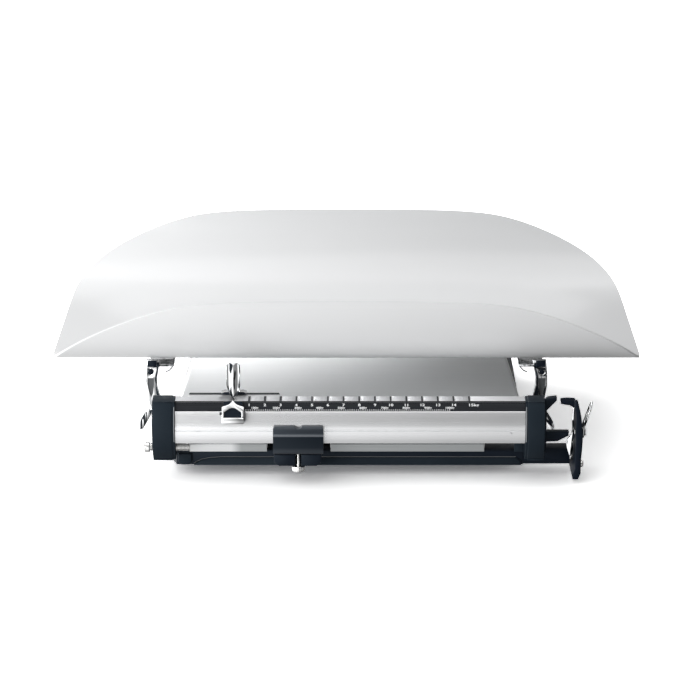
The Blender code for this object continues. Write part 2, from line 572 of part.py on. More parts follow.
def build_tare_poise():
    """Black clamp block on the lower lip, its jaw and the thumb screw below."""
    x = -42.4
    outline = (
        (-162.4, 57.7), (-168.6, 57.7), (-170.0, 56.3), (-170.0, 51.2), (-168.9, 50.2), (-169.2, 34.0),
        (-167.6, 30.0), (-153.4, 30.0), (-153.4, 36.9), (-155.9, 36.9), (-155.9, 43.6), (-158.0, 43.6),
        (-158.0, 37.9), (-161.2, 37.9), (-162.4, 42.0))
    block = prism("tare_block", outline, "X", x - 22.3, x + 22.3, "black", (x, -162.0, 44.0))
    thumb = turned("tool_tare_notch", ((0.0, 8.0), (4.0, 8.0), (4.0, -8.0), (0.0, -8.0)),
                   (x, -166.0, 59.4), "Y", None, 24, True)
    combine(block, thumb, "DIFFERENCE")
    bore = turned("tool_tare_bore", ((0.0, 5.0), (2.5, 5.0), (2.5, -8.0), (0.0, -8.0)),
                  (x, -163.4, 31.0), "Z", None, 20, True)
    combine(block, bore, "DIFFERENCE")
    soften(block, 0.8, 2, 40.0)
    jaw_outline = ((-64.0, 29.7), (-64.0, 22.4), (-60.0, 19.0), (-26.0, 19.0), (-22.0, 22.4), (-22.0, 29.7))
    jaw = prism("tare_jaw", jaw_outline, "Y", -167.0, -156.0, "black", (x, -162.0, 25.0))
    relief = box("tool_jaw_slot", (x - 2.6, x + 2.6), (-170.0, -160.6), (15.0, 33.0))
    combine(jaw, relief, "DIFFERENCE")
    soften(jaw, 0.6, 2, 30.0)
    profile = ((0.0, 21.0), (2.05, 21.0), (2.05, 5.2), (5.0, 5.0), (5.8, 4.2), (5.8, 0.8), (5.0, 0.0), (0.0, 0.0))
    turned("tare_screw", profile, (x, -163.4, 13.4), "Z", "zinc", 28)


def build_lock():
    """Chrome lock lever: claw inside the post, shaft through it, loop handle outside."""
    y, z = LOCK_Y, LOCK_Z
    pivot = (206.0, y, z)
    shaft = ((0.0, 10.0), (2.8, 10.0), (3.4, 9.4), (3.4, 8.4), (2.2, 8.2), (2.2, 0.0), (0.0, 0.0))
    turned("lock_shaft", shaft, (202.9, y, z), "X", "chrome", 20)
    claw = (
        (200.4, 68.0), (201.8, 69.0), (202.6, 66.0), (201.8, 58.0), (202.6, 50.0), (202.6, 40.0),
        (200.6, 36.4), (201.6, 30.0), (201.4, 25.0), (199.6, 22.0), (198.2, 24.0), (196.6, 29.0),
        (195.5, 34.0), (196.4, 38.0), (199.6, 42.6), (200.4, 50.0), (199.8, 58.0))
    cam = prism("lock_claw", claw, "Y", y - 2.0, y + 2.0, "chrome", pivot)
    soften(cam, 0.5, 2, 25.0)

    outline = (
        (y - 5.0, z - 2.0), (y - 3.6, z - 4.4), (y, z - 5.2), (y + 3.6, z - 4.4), (y + 5.0, z - 2.0),
        (y + 5.4, z + 5.0), (y + 7.0, z + 14.0), (y + 6.4, z + 22.0), (y + 3.4, z + 27.6), (y, z + 29.0),
        (y - 3.4, z + 27.6), (y - 6.4, z + 22.0), (y - 7.0, z + 14.0), (y - 5.4, z + 5.0))
    handle = prism("lock_handle", outline, "X", 209.2 + GAP, 211.0, "chrome", pivot)
    lean(handle, z + 5.0, 0.30)
    eye = [(y + 3.6 * c, z + 16.0 + 7.6 * s) for c, s in arc((0.0, 0.0), 1.0, 0.0, 330.0, 11)]
    combine(handle, prism("tool_lock_eye", eye, "X", 205.0, 226.0), "DIFFERENCE")
    bore = turned("tool_lock_bore", ((0.0, 6.0), (2.5, 6.0), (2.5, -6.0), (0.0, -6.0)),
                  (210.0, y, z), "X", None, 20, True)
    combine(handle, bore, "DIFFERENCE")
    soften(handle, 0.4, 2, 40.0)
    return handle


build_tray()
build_base()
build_deck()
build_indicator_bracket()
build_stands()
build_levers()
build_carrier()
build_brackets()
build_beam()
build_zero_screw()
build_kilo_poise()
build_gram_poise()
build_tare_poise()
build_lock()

for obj in bpy.data.objects:
    if obj.hide_render or obj.type != "MESH":
        continue
    for polygon in obj.data.polygons:
        polygon.use_smooth = True
    obj.data.set_sharp_from_angle(angle=math.radians(30.0))
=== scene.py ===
"""Looks for the sliding-weight animal scale: finishes, printed scale and finished pieces.

Units are metres in the row frame: X along the tray, the user on the -Y side, Z up.
"""
import json
import math

import bmesh
import bpy
from mathutils import Matrix, Vector


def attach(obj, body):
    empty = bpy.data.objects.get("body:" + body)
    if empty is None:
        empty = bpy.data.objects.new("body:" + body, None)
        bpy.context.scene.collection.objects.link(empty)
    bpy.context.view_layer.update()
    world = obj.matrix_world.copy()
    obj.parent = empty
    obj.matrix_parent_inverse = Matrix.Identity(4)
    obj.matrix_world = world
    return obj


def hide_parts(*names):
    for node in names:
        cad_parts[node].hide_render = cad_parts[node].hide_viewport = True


MM = 0.001

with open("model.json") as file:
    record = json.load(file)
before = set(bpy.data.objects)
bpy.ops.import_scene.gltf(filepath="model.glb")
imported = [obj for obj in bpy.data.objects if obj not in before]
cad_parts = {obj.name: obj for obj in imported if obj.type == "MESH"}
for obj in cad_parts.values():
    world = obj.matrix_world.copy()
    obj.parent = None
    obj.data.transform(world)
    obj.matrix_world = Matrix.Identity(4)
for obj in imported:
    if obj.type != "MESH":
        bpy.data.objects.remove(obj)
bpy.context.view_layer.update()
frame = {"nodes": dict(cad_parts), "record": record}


# ------------------------------------------------------------------ shader arithmetic
class Wire:
    """One output socket of a finish, with arithmetic that adds Math nodes."""

    def __init__(self, finish, socket):
        self.finish = finish
        self.socket = socket

    def _math(self, operation, first, second):
        return self.finish.node("ShaderNodeMath", {"operation": operation}, {0: first, 1: second})

    def __add__(self, other):
        return self._math("ADD", self, other)

    def __sub__(self, other):
        return self._math("SUBTRACT", self, other)

    def __rsub__(self, other):
        return self._math("SUBTRACT", other, self)

    def __mul__(self, other):
        return self._math("MULTIPLY", self, other)

    __radd__ = __add__
    __rmul__ = __mul__


class Finish:
    """One Principled material; named sockets of the shader are set once."""

    def __init__(self, name, **sockets):
        self.material = bpy.data.materials.new(name)
        self.material.use_nodes = True
        self.tree = self.material.node_tree
        self.shader = self.tree.nodes["Principled BSDF"]
        for key, value in sockets.items():
            self.put(key.replace("_", " "), value)
        self.place = self.node("ShaderNodeTexCoord", output="Object")

    def node(self, kind, settings=None, sockets=None, output=0):
        """Adds a node: settings first, then values or links; gives one output."""
        made = self.tree.nodes.new(kind)
        for key, value in (settings or {}).items():
            if key == "stops":
                self.fill_ramp(made.color_ramp, value)
            else:
                setattr(made, key, value)
        for key, value in (sockets or {}).items():
            if isinstance(value, Wire):
                self.tree.links.new(value.socket, made.inputs[key])
            else:
                made.inputs[key].default_value = value
        return Wire(self, made.outputs[output])

    @staticmethod
    def fill_ramp(ramp, stops):
        """Sets a ramp's stops as (place, grey or colour)."""
        while len(ramp.elements) < len(stops):
            ramp.elements.new(1.0)
        for element, (place, value) in zip(ramp.elements, stops):
            element.position = place
            shade = value if isinstance(value, tuple) else (value, value, value)
            element.color = (*shade, 1.0)

    def put(self, name, value):
        """Sets or links one socket of the shader."""
        socket = self.shader.inputs[name]
        if isinstance(value, Wire):
            self.tree.links.new(value.socket, socket)
        elif isinstance(value, tuple):
            socket.default_value = (*value, 1.0)
        else:
            socket.default_value = value

    def stretched(self, x, y, z):
        """Object coordinates scaled along each axis, in features per metre."""
        return self.node("ShaderNodeMapping", {}, {"Vector": self.place, "Scale": (x, y, z)})

    def noise(self, scale, detail=2.0, rough=0.5, vector=None):
        """Noise from 0 to 1; scale in features per metre unless a vector is given."""
        sockets = {"Vector": vector or self.place, "Scale": scale, "Detail": detail, "Roughness": rough}
        return self.node("ShaderNodeTexNoise", {}, sockets)

    def ramp(self, value, *stops):
        """A colour ramp over a value."""
        return self.node("ShaderNodeValToRGB", {"stops": stops}, {0: value})

    def mix(self, factor, first, second):
        """A mix of two colours."""
        wires = {0: factor, 6: first, 7: second}
        sockets = {k: (*v, 1.0) if isinstance(v, tuple) else v for k, v in wires.items()}
        return self.node("ShaderNodeMix", {"data_type": "RGBA"}, sockets, 2)

    def bump(self, height, distance, strength=1.0, base=None):
        """Relief of a height field, distance in metres."""
        sockets = {"Strength": strength, "Distance": distance, "Height": height}
        if base is not None:
            sockets["Normal"] = base
        return self.node("ShaderNodeBump", {}, sockets)

    def edges(self, radius, low, high):
        """A mask that is 1 along sharp edges, from the rounded and the true normal."""
        round_normal = self.node("ShaderNodeBevel", {"samples": 4}, {"Radius": radius})
        true_normal = self.node("ShaderNodeNewGeometry", output="Normal")
        settings = {"operation": "DOT_PRODUCT"}
        cosine = self.node("ShaderNodeVectorMath", settings, {0: round_normal, 1: true_normal}, "Value")
        return self.ramp(1.0 - cosine, (low, 0.0), (high, 1.0))


# ------------------------------------------------------------------ finishes
COOL_SHEEN = (0.75, 0.9, 1.0)
FINE_BRUSHING = (14.0, 1400.0, 1400.0)
DRAWN_GRAIN = (5.0, 2200.0, 2200.0)


def enamel():
    """Semi-gloss white enamel with faint orange peel."""
    f = Finish("tray_enamel", Coat_Weight=0.25, Coat_Roughness=0.12)
    cloud = f.noise(5.0, 2.0)
    f.put("Base Color", f.mix(cloud, (0.625, 0.632, 0.638), (0.645, 0.650, 0.655)))
    f.put("Roughness", f.noise(30.0, 2.0) * 0.03 + 0.27)
    peel = f.noise(420.0, 2.0) * 0.7 + f.noise(1500.0, 1.0) * 0.3
    f.put("Normal", f.bump(peel, 0.00003, 0.12))
    return f.material


def brushed(name, low, high, rough, grain, relief, metal):
    """Brushed metal with its grain along X."""
    f = Finish(name, Metallic=metal)
    line = f.noise(1.0, 3.0, 0.6, f.stretched(*grain))
    wide = f.noise(1.0, 2.0, 0.5, f.stretched(*(g * 0.12 for g in grain)))
    blotch = f.noise(14.0, 3.0)
    f.put("Base Color", f.mix(line * 0.6 + wide * 0.2 + blotch * 0.2, low, high))
    f.put("Roughness", line * 0.10 + blotch * 0.06 + rough)
    f.put("Normal", f.bump(line, 0.00003, relief))
    return f.material


def hem_steel():
    """The cover's turned lower edge: brushed steel, painted bright towards its left end as painted
    light and darker to the right as painted shade.
    """
    f = Finish("hem_steel", Metallic=0.7)
    side = (f.node("ShaderNodeSeparateXYZ", {}, {"Vector": f.place}, 0) + 0.14) * 20.0
    line = f.noise(1.0, 3.0, 0.6, f.stretched(*FINE_BRUSHING))
    lit_steel = f.mix(line, (0.66, 0.67, 0.675), (0.80, 0.81, 0.815))
    shaded_steel = f.mix(line, (0.30, 0.315, 0.32), (0.42, 0.435, 0.44))
    # painted light: the ramp across X makes the left end bright where the light falls and the rest
    # darker as painted shade
    f.put("Base Color", f.mix(f.ramp(side, (0.74, 0.0), (0.92, 1.0)), lit_steel, shaded_steel))
    f.put("Roughness", line * 0.12 + 0.30)
    f.put("Normal", f.bump(line, 0.00003, 0.5))
    return f.material


def chrome(name, tint=(0.83, 0.84, 0.85), rough=0.04, streaks=0.0):
    """Polished plating with light smears, hairline scratches and, where streaks is set, dark streaks
    painted into the plate as painted reflections.
    """
    f = Finish(name, Metallic=1.0)
    smear = f.noise(120.0, 4.0, 0.6)
    hair = f.noise(1.0, 2.0, 0.5, f.stretched(90.0, 2600.0, 2600.0))
    dim = tuple(c * 0.93 for c in tint)
    plate = f.mix(smear, dim, tint)
    if streaks:
        # painted reflection: dark streaks in the plate's colour stand in for reflected dark
        # surroundings
        reflection_streaks = f.noise(1.0, 1.5, 0.45, f.stretched(400.0, 260.0, 66.0))
        plate = f.mix(f.ramp(reflection_streaks, (0.52, 0.0), (0.56, streaks)), plate, (0.016, 0.020, 0.024))
    f.put("Base Color", plate)
    f.put("Roughness", f.ramp(smear, (0.35, rough), (0.75, rough + 0.08)))
    f.put("Normal", f.bump(hair * 0.5 + smear * 0.5, 0.00002, 0.12))
    return f.material


def black_paint(name, colour, lighter, rough, peel_scale, relief, worn=0.5, spec=0.13):
    """Black lacquer or moulded plastic: fine grain, dust and rubbed edges."""
    f = Finish(name, Specular_IOR_Level=spec, Specular_Tint=COOL_SHEEN)
    dust = f.noise(45.0, 5.0, 0.65)
    worn_edge = f.edges(0.0006, 0.02, 0.25) * (f.noise(260.0, 3.0) * worn)
    tone = f.mix(f.ramp(dust, (0.45, 0.0), (0.85, 0.6)), colour, lighter)
    rub_and_highlight = tuple(min(1.0, c * 4.0 + 0.03) for c in lighter)
    f.put("Base Color", f.mix(worn_edge, tone, rub_and_highlight))
    f.put("Roughness", dust * 0.14 + rough)
    f.put("Normal", f.bump(f.noise(peel_scale, 2.0), 0.00005, relief))
    return f.material


def tare_black():
    """Black clamp paint with painted highlights by height: lighter along its lower edge, a bright band
    on its ledge and lighter towards its top.
    """
    f = Finish("tare_black", Specular_IOR_Level=0.2, Specular_Tint=COOL_SHEEN)
    height = (f.node("ShaderNodeSeparateXYZ", {}, {"Vector": f.place}, 2) - 0.030) * 36.0
    peel = f.noise(900.0, 2.0)
    # painted highlights: the ramp over height lightens the lower edge, the ledge and the top
    light = f.ramp(height, (0.0, 0.26), (0.14, 0.20), (0.26, 0.04), (0.62, 0.02), (0.65, 0.95),
                   (0.71, 0.80), (0.73, 0.12), (0.84, 0.16), (0.97, 0.42))
    rub_and_highlight = light * (peel * 0.3 + 0.85)
    f.put("Base Color", f.mix(rub_and_highlight, (0.004, 0.007, 0.012), (0.125, 0.135, 0.15)))
    f.put("Roughness", peel * 0.10 + 0.30)
    f.put("Normal", f.bump(peel, 0.00002, 0.4))
    return f.material


def strip_ink():
    """Black printed scale: flat satin film with faint rub marks along the slider's path."""
    f = Finish("scale_black", Specular_IOR_Level=0.10)
    rub = f.noise(1.0, 3.0, 0.6, f.stretched(30.0, 900.0, 900.0))
    f.put("Base Color", f.mix(rub, (0.010, 0.011, 0.013), (0.024, 0.026, 0.030)))
    f.put("Roughness", rub * 0.16 + 0.30)
    f.put("Normal", f.bump(rub, 0.00001, 0.4))
    return f.material


def ink(name, low, high):
    """Fine-grained flat paint: printed figures and marks, and flat greys and blacks that stand for
    painted highlights and painted shade.
    """
    f = Finish(name)
    grain = f.noise(1800.0, 2.0)
    f.put("Base Color", f.mix(grain, low, high))
    f.put("Roughness", grain * 0.2 + 0.4)
    f.put("Normal", f.bump(grain, 0.00001, 0.3))
    return f.material


def plain_steel():
    """Plain steel with darker mill blotches."""
    f = Finish("plain_steel", Metallic=1.0)
    blotch = f.noise(70.0, 5.0, 0.65)
    roll = f.noise(1.0, 2.0, 0.5, f.stretched(25.0, 700.0, 300.0))
    f.put("Base Color", f.mix(blotch * 0.7 + roll * 0.3, (0.33, 0.33, 0.34), (0.58, 0.58, 0.59)))
    f.put("Roughness", blotch * 0.2 + 0.30)
    f.put("Normal", f.bump(blotch + roll, 0.00003, 0.25))
    return f.material


def rubber():
    """Matt rubber with a dusty bloom."""
    f = Finish("foot_rubber")
    bloom = f.noise(300.0, 4.0, 0.6)
    f.put("Base Color", f.mix(bloom, (0.014, 0.014, 0.015), (0.045, 0.045, 0.046)))
    f.put("Roughness", bloom * 0.2 + 0.68)
    f.put("Normal", f.bump(f.noise(1400.0, 2.0), 0.00006, 0.5))
    return f.material


FINISHES = {
    "tray_enamel": enamel(),
    "deck_steel": brushed(
        "deck_steel", (0.76, 0.77, 0.775), (0.92, 0.93, 0.935), 0.42, FINE_BRUSHING, 0.6, 0.6),
    "beam_aluminium": brushed(
        "beam_aluminium", (0.88, 0.89, 0.905), (0.965, 0.97, 0.98), 0.16, DRAWN_GRAIN, 0.25, 0.85),
    "hem_steel": hem_steel(),
    "rail_aluminium": brushed(
        "rail_aluminium", (0.86, 0.865, 0.88), (0.95, 0.952, 0.96), 0.26, DRAWN_GRAIN, 0.25, 0.70),
    "scale_black": strip_ink(),
    "cap_black": black_paint(
        "cap_black", (0.010, 0.015, 0.021), (0.016, 0.022, 0.029), 0.36, 1500.0, 0.6),
    "cast_black": black_paint(
        "cast_black", (0.007, 0.010, 0.016), (0.012, 0.016, 0.023), 0.24, 700.0, 0.4),
    "tare_black": tare_black(),
    "chrome": chrome("chrome"),
    # chrome with dark painted reflections; soft_chrome below has them at half strength
    "drawn_chrome": chrome("drawn_chrome", streaks=1.0),
    # grey for the painted highlight on the cap rims
    "worn_edge": ink("worn_edge", (0.16, 0.17, 0.18), (0.24, 0.25, 0.26)),
    "zinc": chrome("zinc", (0.86, 0.86, 0.85), 0.14),
    "steel": plain_steel(),
    "foot_rubber": rubber(),
    "soft_chrome": chrome("soft_chrome", streaks=0.5),
    "post_black": black_paint(
        "post_black", (0.007, 0.010, 0.016), (0.012, 0.016, 0.023), 0.5, 700.0, 0.4, spec=0.03),
    # grey for the painted shade in the bracket slots and the painted highlight on the base lip
    "recess_grey": ink("recess_grey", (0.05, 0.055, 0.058), (0.10, 0.105, 0.11)),
    "white_ink": ink("white_ink", (0.72, 0.73, 0.74), (0.86, 0.87, 0.88)),
    # black print, and also the painted shade in the rail's notches
    "black_ink": ink("black_ink", (0.012, 0.013, 0.015), (0.030, 0.032, 0.036)),
}

NODE_SLOT = {
    "tray": "tray_enamel", "deck_cover": "deck_steel", "beam_profile": "beam_aluminium",
    "notch_rail": "beam_aluminium", "scale_strip": "scale_black", "cap_left": "cap_black",
    "cap_right": "cap_black", "base_frame": "cast_black", "indicator_bracket": "cast_black",
    "beam_end_plate": "cast_black", "kilo_saddle": "cast_black", "kilo_bar": "steel",
    "tare_block": "cast_black", "tare_jaw": "cast_black", "kilo_handle": "chrome",
    "gram_poise": "chrome", "lock_shaft": "chrome", "lock_claw": "chrome", "lock_handle": "chrome",
    "leaf_clip_l": "chrome", "leaf_clip_r": "chrome", "zero_rod": "zinc", "zero_knob": "zinc",
    "tare_screw": "zinc", "bracket_screw_a": "zinc", "bracket_screw_b": "zinc",
}
NODE_SLOT.update({f"bracket_{corner}": "chrome" for corner in ("fl", "fr", "bl", "br")})
NODE_SLOT.update({f"foot_{corner}": "foot_rubber" for corner in ("fl", "fr", "bl", "br")})
# nodes, by the start of their name, whose finish differs from their slot's own
SPECIAL = (
    ("bracket_f", "soft_chrome"), ("bracket_b", "soft_chrome"), ("leaf_clip", "drawn_chrome"),
    ("lock_claw", "drawn_chrome"), ("lock_handle", "drawn_chrome"), ("notch_rail", "rail_aluminium"))
BODY_OF = {n: body for body, names in frame["record"]["behaviour"]["bodies"].items() for n in names}


# ------------------------------------------------------------------ modelling helpers
def only(piece):
    """Makes one object the active and only selected one."""
    if bpy.context.object and bpy.context.object.mode != "OBJECT":
        bpy.ops.object.mode_set(mode="OBJECT")
    bpy.ops.object.select_all(action="DESELECT")
    piece.select_set(True)
    bpy.context.view_layer.objects.active = piece


def settle(piece):
    """Puts the object at the origin, unturned and unscaled, with its place in its mesh."""
    only(piece)
    bpy.ops.object.transform_apply(location=True, rotation=True, scale=True)


def smooth(piece, angle=35.0):
    """Smooth shading except over sharp edges."""
    only(piece)
    bpy.ops.object.shade_smooth_by_angle(angle=math.radians(angle))


def apply_bevel(piece, width, segments=3, angle=30.0):
    """Rounds the sharp edges and applies the modifier."""
    edge = piece.modifiers.new("round", "BEVEL")
    edge.width = width * MM
    edge.segments = segments
    edge.limit_method = "ANGLE"
    edge.angle_limit = math.radians(angle)
    only(piece)
    bpy.ops.object.modifier_apply(modifier=edge.name)


def cut(piece, tool, operation="DIFFERENCE"):
    """Applies an exact boolean and removes the tool."""
    step = piece.modifiers.new("cut", "BOOLEAN")
    step.operation = operation
    step.solver = "EXACT"
    step.object = tool
    only(piece)
    bpy.ops.object.modifier_apply(modifier=step.name)
    bpy.data.objects.remove(tool, do_unlink=True)


def dress(piece, body, slot_name, nodes=(), finish=None):
    """Gives a piece its finish (the slot's own unless another is named) and its body, and hides the
    nodes that it stands for.
    """
    piece.data.materials.clear()
    piece.data.materials.append(FINISHES[finish or slot_name])
    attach(piece, body)
    if nodes:
        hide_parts(*nodes)
    return piece


def join(name, pieces):
    """One mesh from several."""
    only(pieces[0])
    for piece in pieces:
        piece.select_set(True)
    bpy.ops.object.join()
    whole = bpy.context.object
    whole.name = name
    return whole


def refined(node, angle=35.0):
    """A merged, smooth-shaded copy of a CAD node, shown in its place."""
    piece = bpy.data.objects.new(node + "_finished", frame["nodes"][node].data.copy())
    bpy.context.scene.collection.objects.link(piece)
    only(piece)
    bpy.ops.object.mode_set(mode="EDIT")
    bpy.ops.mesh.select_all(action="SELECT")
    bpy.ops.mesh.remove_doubles(threshold=0.00001)
    bpy.ops.mesh.dissolve_limited(angle_limit=math.radians(0.4))
    bpy.ops.object.mode_set(mode="OBJECT")
    smooth(piece, angle)
    finish = next((finish for start, finish in SPECIAL if node.startswith(start)), None)
    return dress(piece, BODY_OF[node], NODE_SLOT.get(node, "steel"), [node], finish)


# where an outline's two coordinates and its depth go, by the axis that it is extruded along
PLACES = {
    "X": lambda a, b, depth: (depth, a, b),
    "Y": lambda a, b, depth: (a, depth, b),
    "Z": lambda a, b, depth: (a, b, depth),
}


def slab(name, outline, axis, low, high):
    """An outline in millimetres, drawn in the plane across an axis and extruded along it."""
    count = len(outline)
    bpy.ops.object.select_all(action="DESELECT")
    bpy.ops.mesh.primitive_circle_add(vertices=count, radius=1.0, fill_type="NGON")
    piece = bpy.context.object
    piece.name = name
    for vert, (a, b) in zip(piece.data.vertices, outline):
        vert.co = Vector(PLACES[axis](a, b, low)) * MM
    move = Vector(PLACES[axis](0.0, 0.0, high)) - Vector(PLACES[axis](0.0, 0.0, low))
    bpy.ops.object.mode_set(mode="EDIT")
    bpy.ops.mesh.select_all(action="SELECT")
    bpy.ops.mesh.extrude_region_move(TRANSFORM_OT_translate={"value": move * MM})
    bpy.ops.mesh.select_all(action="SELECT")
    bpy.ops.mesh.normals_make_consistent(inside=False)
    bpy.ops.object.mode_set(mode="OBJECT")
    return piece


def block(name, x, y, z):
    """A box from its (low, high) spans in millimetres, as a start for a piece."""
    return slab(name, ((x[0], y[0]), (x[1], y[0]), (x[1], y[1]), (x[0], y[1])), "Z", z[0], z[1])


def turned(name, profile, centre, axis="Z", steps=48):
    """Spins a profile of (radius, height) pairs in millimetres about an axis through centre."""
    bpy.ops.object.select_all(action="DESELECT")
    bpy.ops.mesh.primitive_circle_add(vertices=len(profile), radius=1.0, fill_type="NOTHING")
    piece = bpy.context.object
    piece.name = name
    for vert, (radius, height) in zip(piece.data.vertices, profile):
        vert.co = Vector((radius, 0.0, height)) * MM
    bpy.ops.object.mode_set(mode="EDIT")
    bm = bmesh.from_edit_mesh(piece.data)
    bm.verts.ensure_lookup_table()
    last = bm.verts[len(profile) - 1]
    closing = [e for e in last.link_edges if e.other_vert(last).index == 0]
    if profile[0][0] < 1e-6 and profile[-1][0] < 1e-6:
        bmesh.ops.delete(bm, geom=closing, context="EDGES_FACES")
    bmesh.update_edit_mesh(piece.data)
    bpy.ops.mesh.select_all(action="SELECT")
    bpy.ops.mesh.spin(steps=steps, angle=math.tau, center=(0.0, 0.0, 0.0), axis=(0.0, 0.0, 1.0))
    bpy.ops.mesh.select_all(action="SELECT")
    bpy.ops.mesh.remove_doubles(threshold=0.000001)
    bpy.ops.mesh.normals_make_consistent(inside=False)
    bpy.ops.object.mode_set(mode="OBJECT")
    turn = {"Z": (0.0, 0.0, 0.0), "X": (0.0, math.pi / 2, 0.0), "Y": (-math.pi / 2, 0.0, 0.0)}
    piece.rotation_euler = turn[axis]
    piece.location = Vector(centre) * MM
    settle(piece)
    return piece


def drill(piece, radius, centre, axis, above, below, steps=48):
    """Cuts a round hole along an axis, from below its centre to above it."""
    profile = ((0.0, above), (radius, above), (radius, -below), (0.0, -below))
    cut(piece, turned("bore", profile, centre, axis, steps))


def curve_through(points, per_span):
    """A smooth line of points through the given ones."""
    line = []
    for i in range(len(points) - 1):
        four = [Vector(points[max(0, min(len(points) - 1, i + k))]) for k in (-1, 0, 1, 2)]
        for step in range(per_span):
            t = step / per_span
            a, b, c, d = four
            line.append(0.5 * (2 * b + (c - a) * t + (2 * a - 5 * b + 4 * c - d) * t * t
                               + (3 * b - a - 3 * c + d) * t ** 3))
    line.append(Vector(points[-1]))
    return line


# ------------------------------------------------------------------ tray
TRAY_Y = 22.0
TRAY_Z = 84.3
TRAY_REACH = 268.89
TRAY_BACK = 169.99
SHEET = 2.0
# one half of the trough's section: distance from its middle, height, and half its length there
TRAY_RIBS = (
    (30.0, 0.0, 268.9), (45.0, 0.0, 268.9), (63.0, 0.4, 268.8), (78.0, 1.3, 268.4), (91.0, 3.1, 267.6),
    (102.0, 5.8, 266.2), (111.0, 9.2, 263.8), (118.2, 13.2, 260.4), (124.0, 17.6, 256.2),
    (128.9, 22.3, 251.0), (133.0, 27.2, 244.8), (136.4, 32.3, 237.5), (139.3, 37.7, 228.8),
    (141.8, 43.2, 218.8), (143.8, 48.8, 207.4), (145.4, 54.5, 194.4), (146.6, 60.2, 179.4),
    (147.4, 65.4, 162.5), (147.8, 69.4, 144.0), (147.9, 72.2, 118.0), (148.0, 73.6, 84.0),
    (148.0, 74.2, 42.0),
)


def build_tray():
    """The trough: one edge swept up both sides, thickened, with a rounded rim."""
    half = curve_through(TRAY_RIBS, 3)
    rows = [(-p.x, p.y, p.z) for p in reversed(half)] + [tuple(p) for p in half]
    bpy.ops.object.select_all(action="DESELECT")
    bpy.ops.mesh.primitive_plane_add(size=1.0)
    tray = bpy.context.object
    tray.name = "tray_shell"
    bpy.ops.object.mode_set(mode="EDIT")
    bm = bmesh.from_edit_mesh(tray.data)
    bmesh.ops.delete(bm, geom=[v for v in bm.verts if v.co.y > 0.0], context="VERTS")
    y, z, reach = rows[0]
    for vert in bm.verts:
        vert.co = Vector((math.copysign(reach, vert.co.x), y + TRAY_Y, z + TRAY_Z)) * MM
    bmesh.update_edit_mesh(tray.data)
    bpy.ops.mesh.select_mode(type="EDGE")
    bpy.ops.mesh.select_all(action="SELECT")
    for (y0, z0, reach0), (y1, z1, reach1) in zip(rows, rows[1:]):
        step = Vector((0.0, y1 - y0, z1 - z0)) * MM
        bpy.ops.mesh.extrude_region_move(TRANSFORM_OT_translate={"value": step})
        centre = Vector((0.0, y1 + TRAY_Y, z1 + TRAY_Z)) * MM
        bpy.ops.transform.resize(value=(reach1 / reach0, 1.0, 1.0), center_override=centre)
    bpy.ops.object.mode_set(mode="OBJECT")
    if tray.data.polygons[len(tray.data.polygons) // 2].normal.z < 0.0:
        only(tray)
        bpy.ops.object.mode_set(mode="EDIT")
        bpy.ops.mesh.select_all(action="SELECT")
        bpy.ops.mesh.flip_normals()
        bpy.ops.object.mode_set(mode="OBJECT")
    sheet = tray.modifiers.new("sheet", "SOLIDIFY")
    sheet.thickness = SHEET * MM
    sheet.offset = 1.0
    sheet.use_even_offset = True
    only(tray)
    bpy.ops.object.modifier_apply(modifier=sheet.name)
    apply_bevel(tray, 0.7, 3, 50.0)
    for vert in tray.data.vertices:
        vert.co.x = max(-TRAY_REACH * MM, min(TRAY_REACH * MM, vert.co.x))
        vert.co.y = min(TRAY_BACK * MM, vert.co.y)
    smooth(tray, 60.0)
    dress(tray, "platform", "tray_enamel", ["tray"])


# ------------------------------------------------------------------ beam
KILO_ZERO = -99.7
KILO_PITCH = 13.9
GRAM_ZERO = -100.0
GRAM_PITCH = 19.13

BEAM_X = (-151.2, 158.2)
# sections are (y, z) pairs
UPPER_FACE = ((-156.3, 66.9), (-157.6, 66.4), (-160.0, 60.0), (-161.5, 54.5), (-161.95, 51.4))
GROOVE = ((-161.2, 50.95), (-161.2, 50.25))
LOWER_FACE = ((-161.95, 49.8), (-162.0, 46.0), (-161.6, 42.0), (-160.8, 38.3))
BEAM_REAR = (
    (-158.4, 38.3), (-158.4, 44.2), (-155.6, 44.2), (-155.6, 37.4), (-140.0, 37.4), (-140.0, 57.0),
    (-131.6, 57.0), (-131.6, 59.0), (-140.0, 59.0), (-140.0, 71.7), (-151.6, 71.7))
# x, z and radius of the holes in the front
BEAM_HOLES = ((145.5, 48.2, 1.1), (-131.5, 50.0, 0.5), (-129.5, 50.0, 0.5))
NOTCH_TOP = 75.06
RAIL_LINE = ((-152.9, 73.9), (-152.9, 74.9), (-152.35, 75.0), (-152.35, 73.9))


def rounded_line(points, per_span=5):
    """Two-dimensional points on a smooth line through the given ones."""
    return [(p.x, p.y) for p in curve_through([(a, b, 0.0) for a, b in points], per_span)]


def build_beam():
    """Extruded beam body with its convex front, groove and end hole."""
    outline = rounded_line(UPPER_FACE) + list(GROOVE) + rounded_line(LOWER_FACE) + list(BEAM_REAR)
    body = slab("beam_body", outline, "X", *BEAM_X)
    for x, z, radius in BEAM_HOLES:
        drill(body, radius, (x, -164.0, z), "Y", 6.0, 2.0, 24)
    smooth(body, 28.0)
    dress(body, "beam", "beam_aluminium", ["beam_profile"])


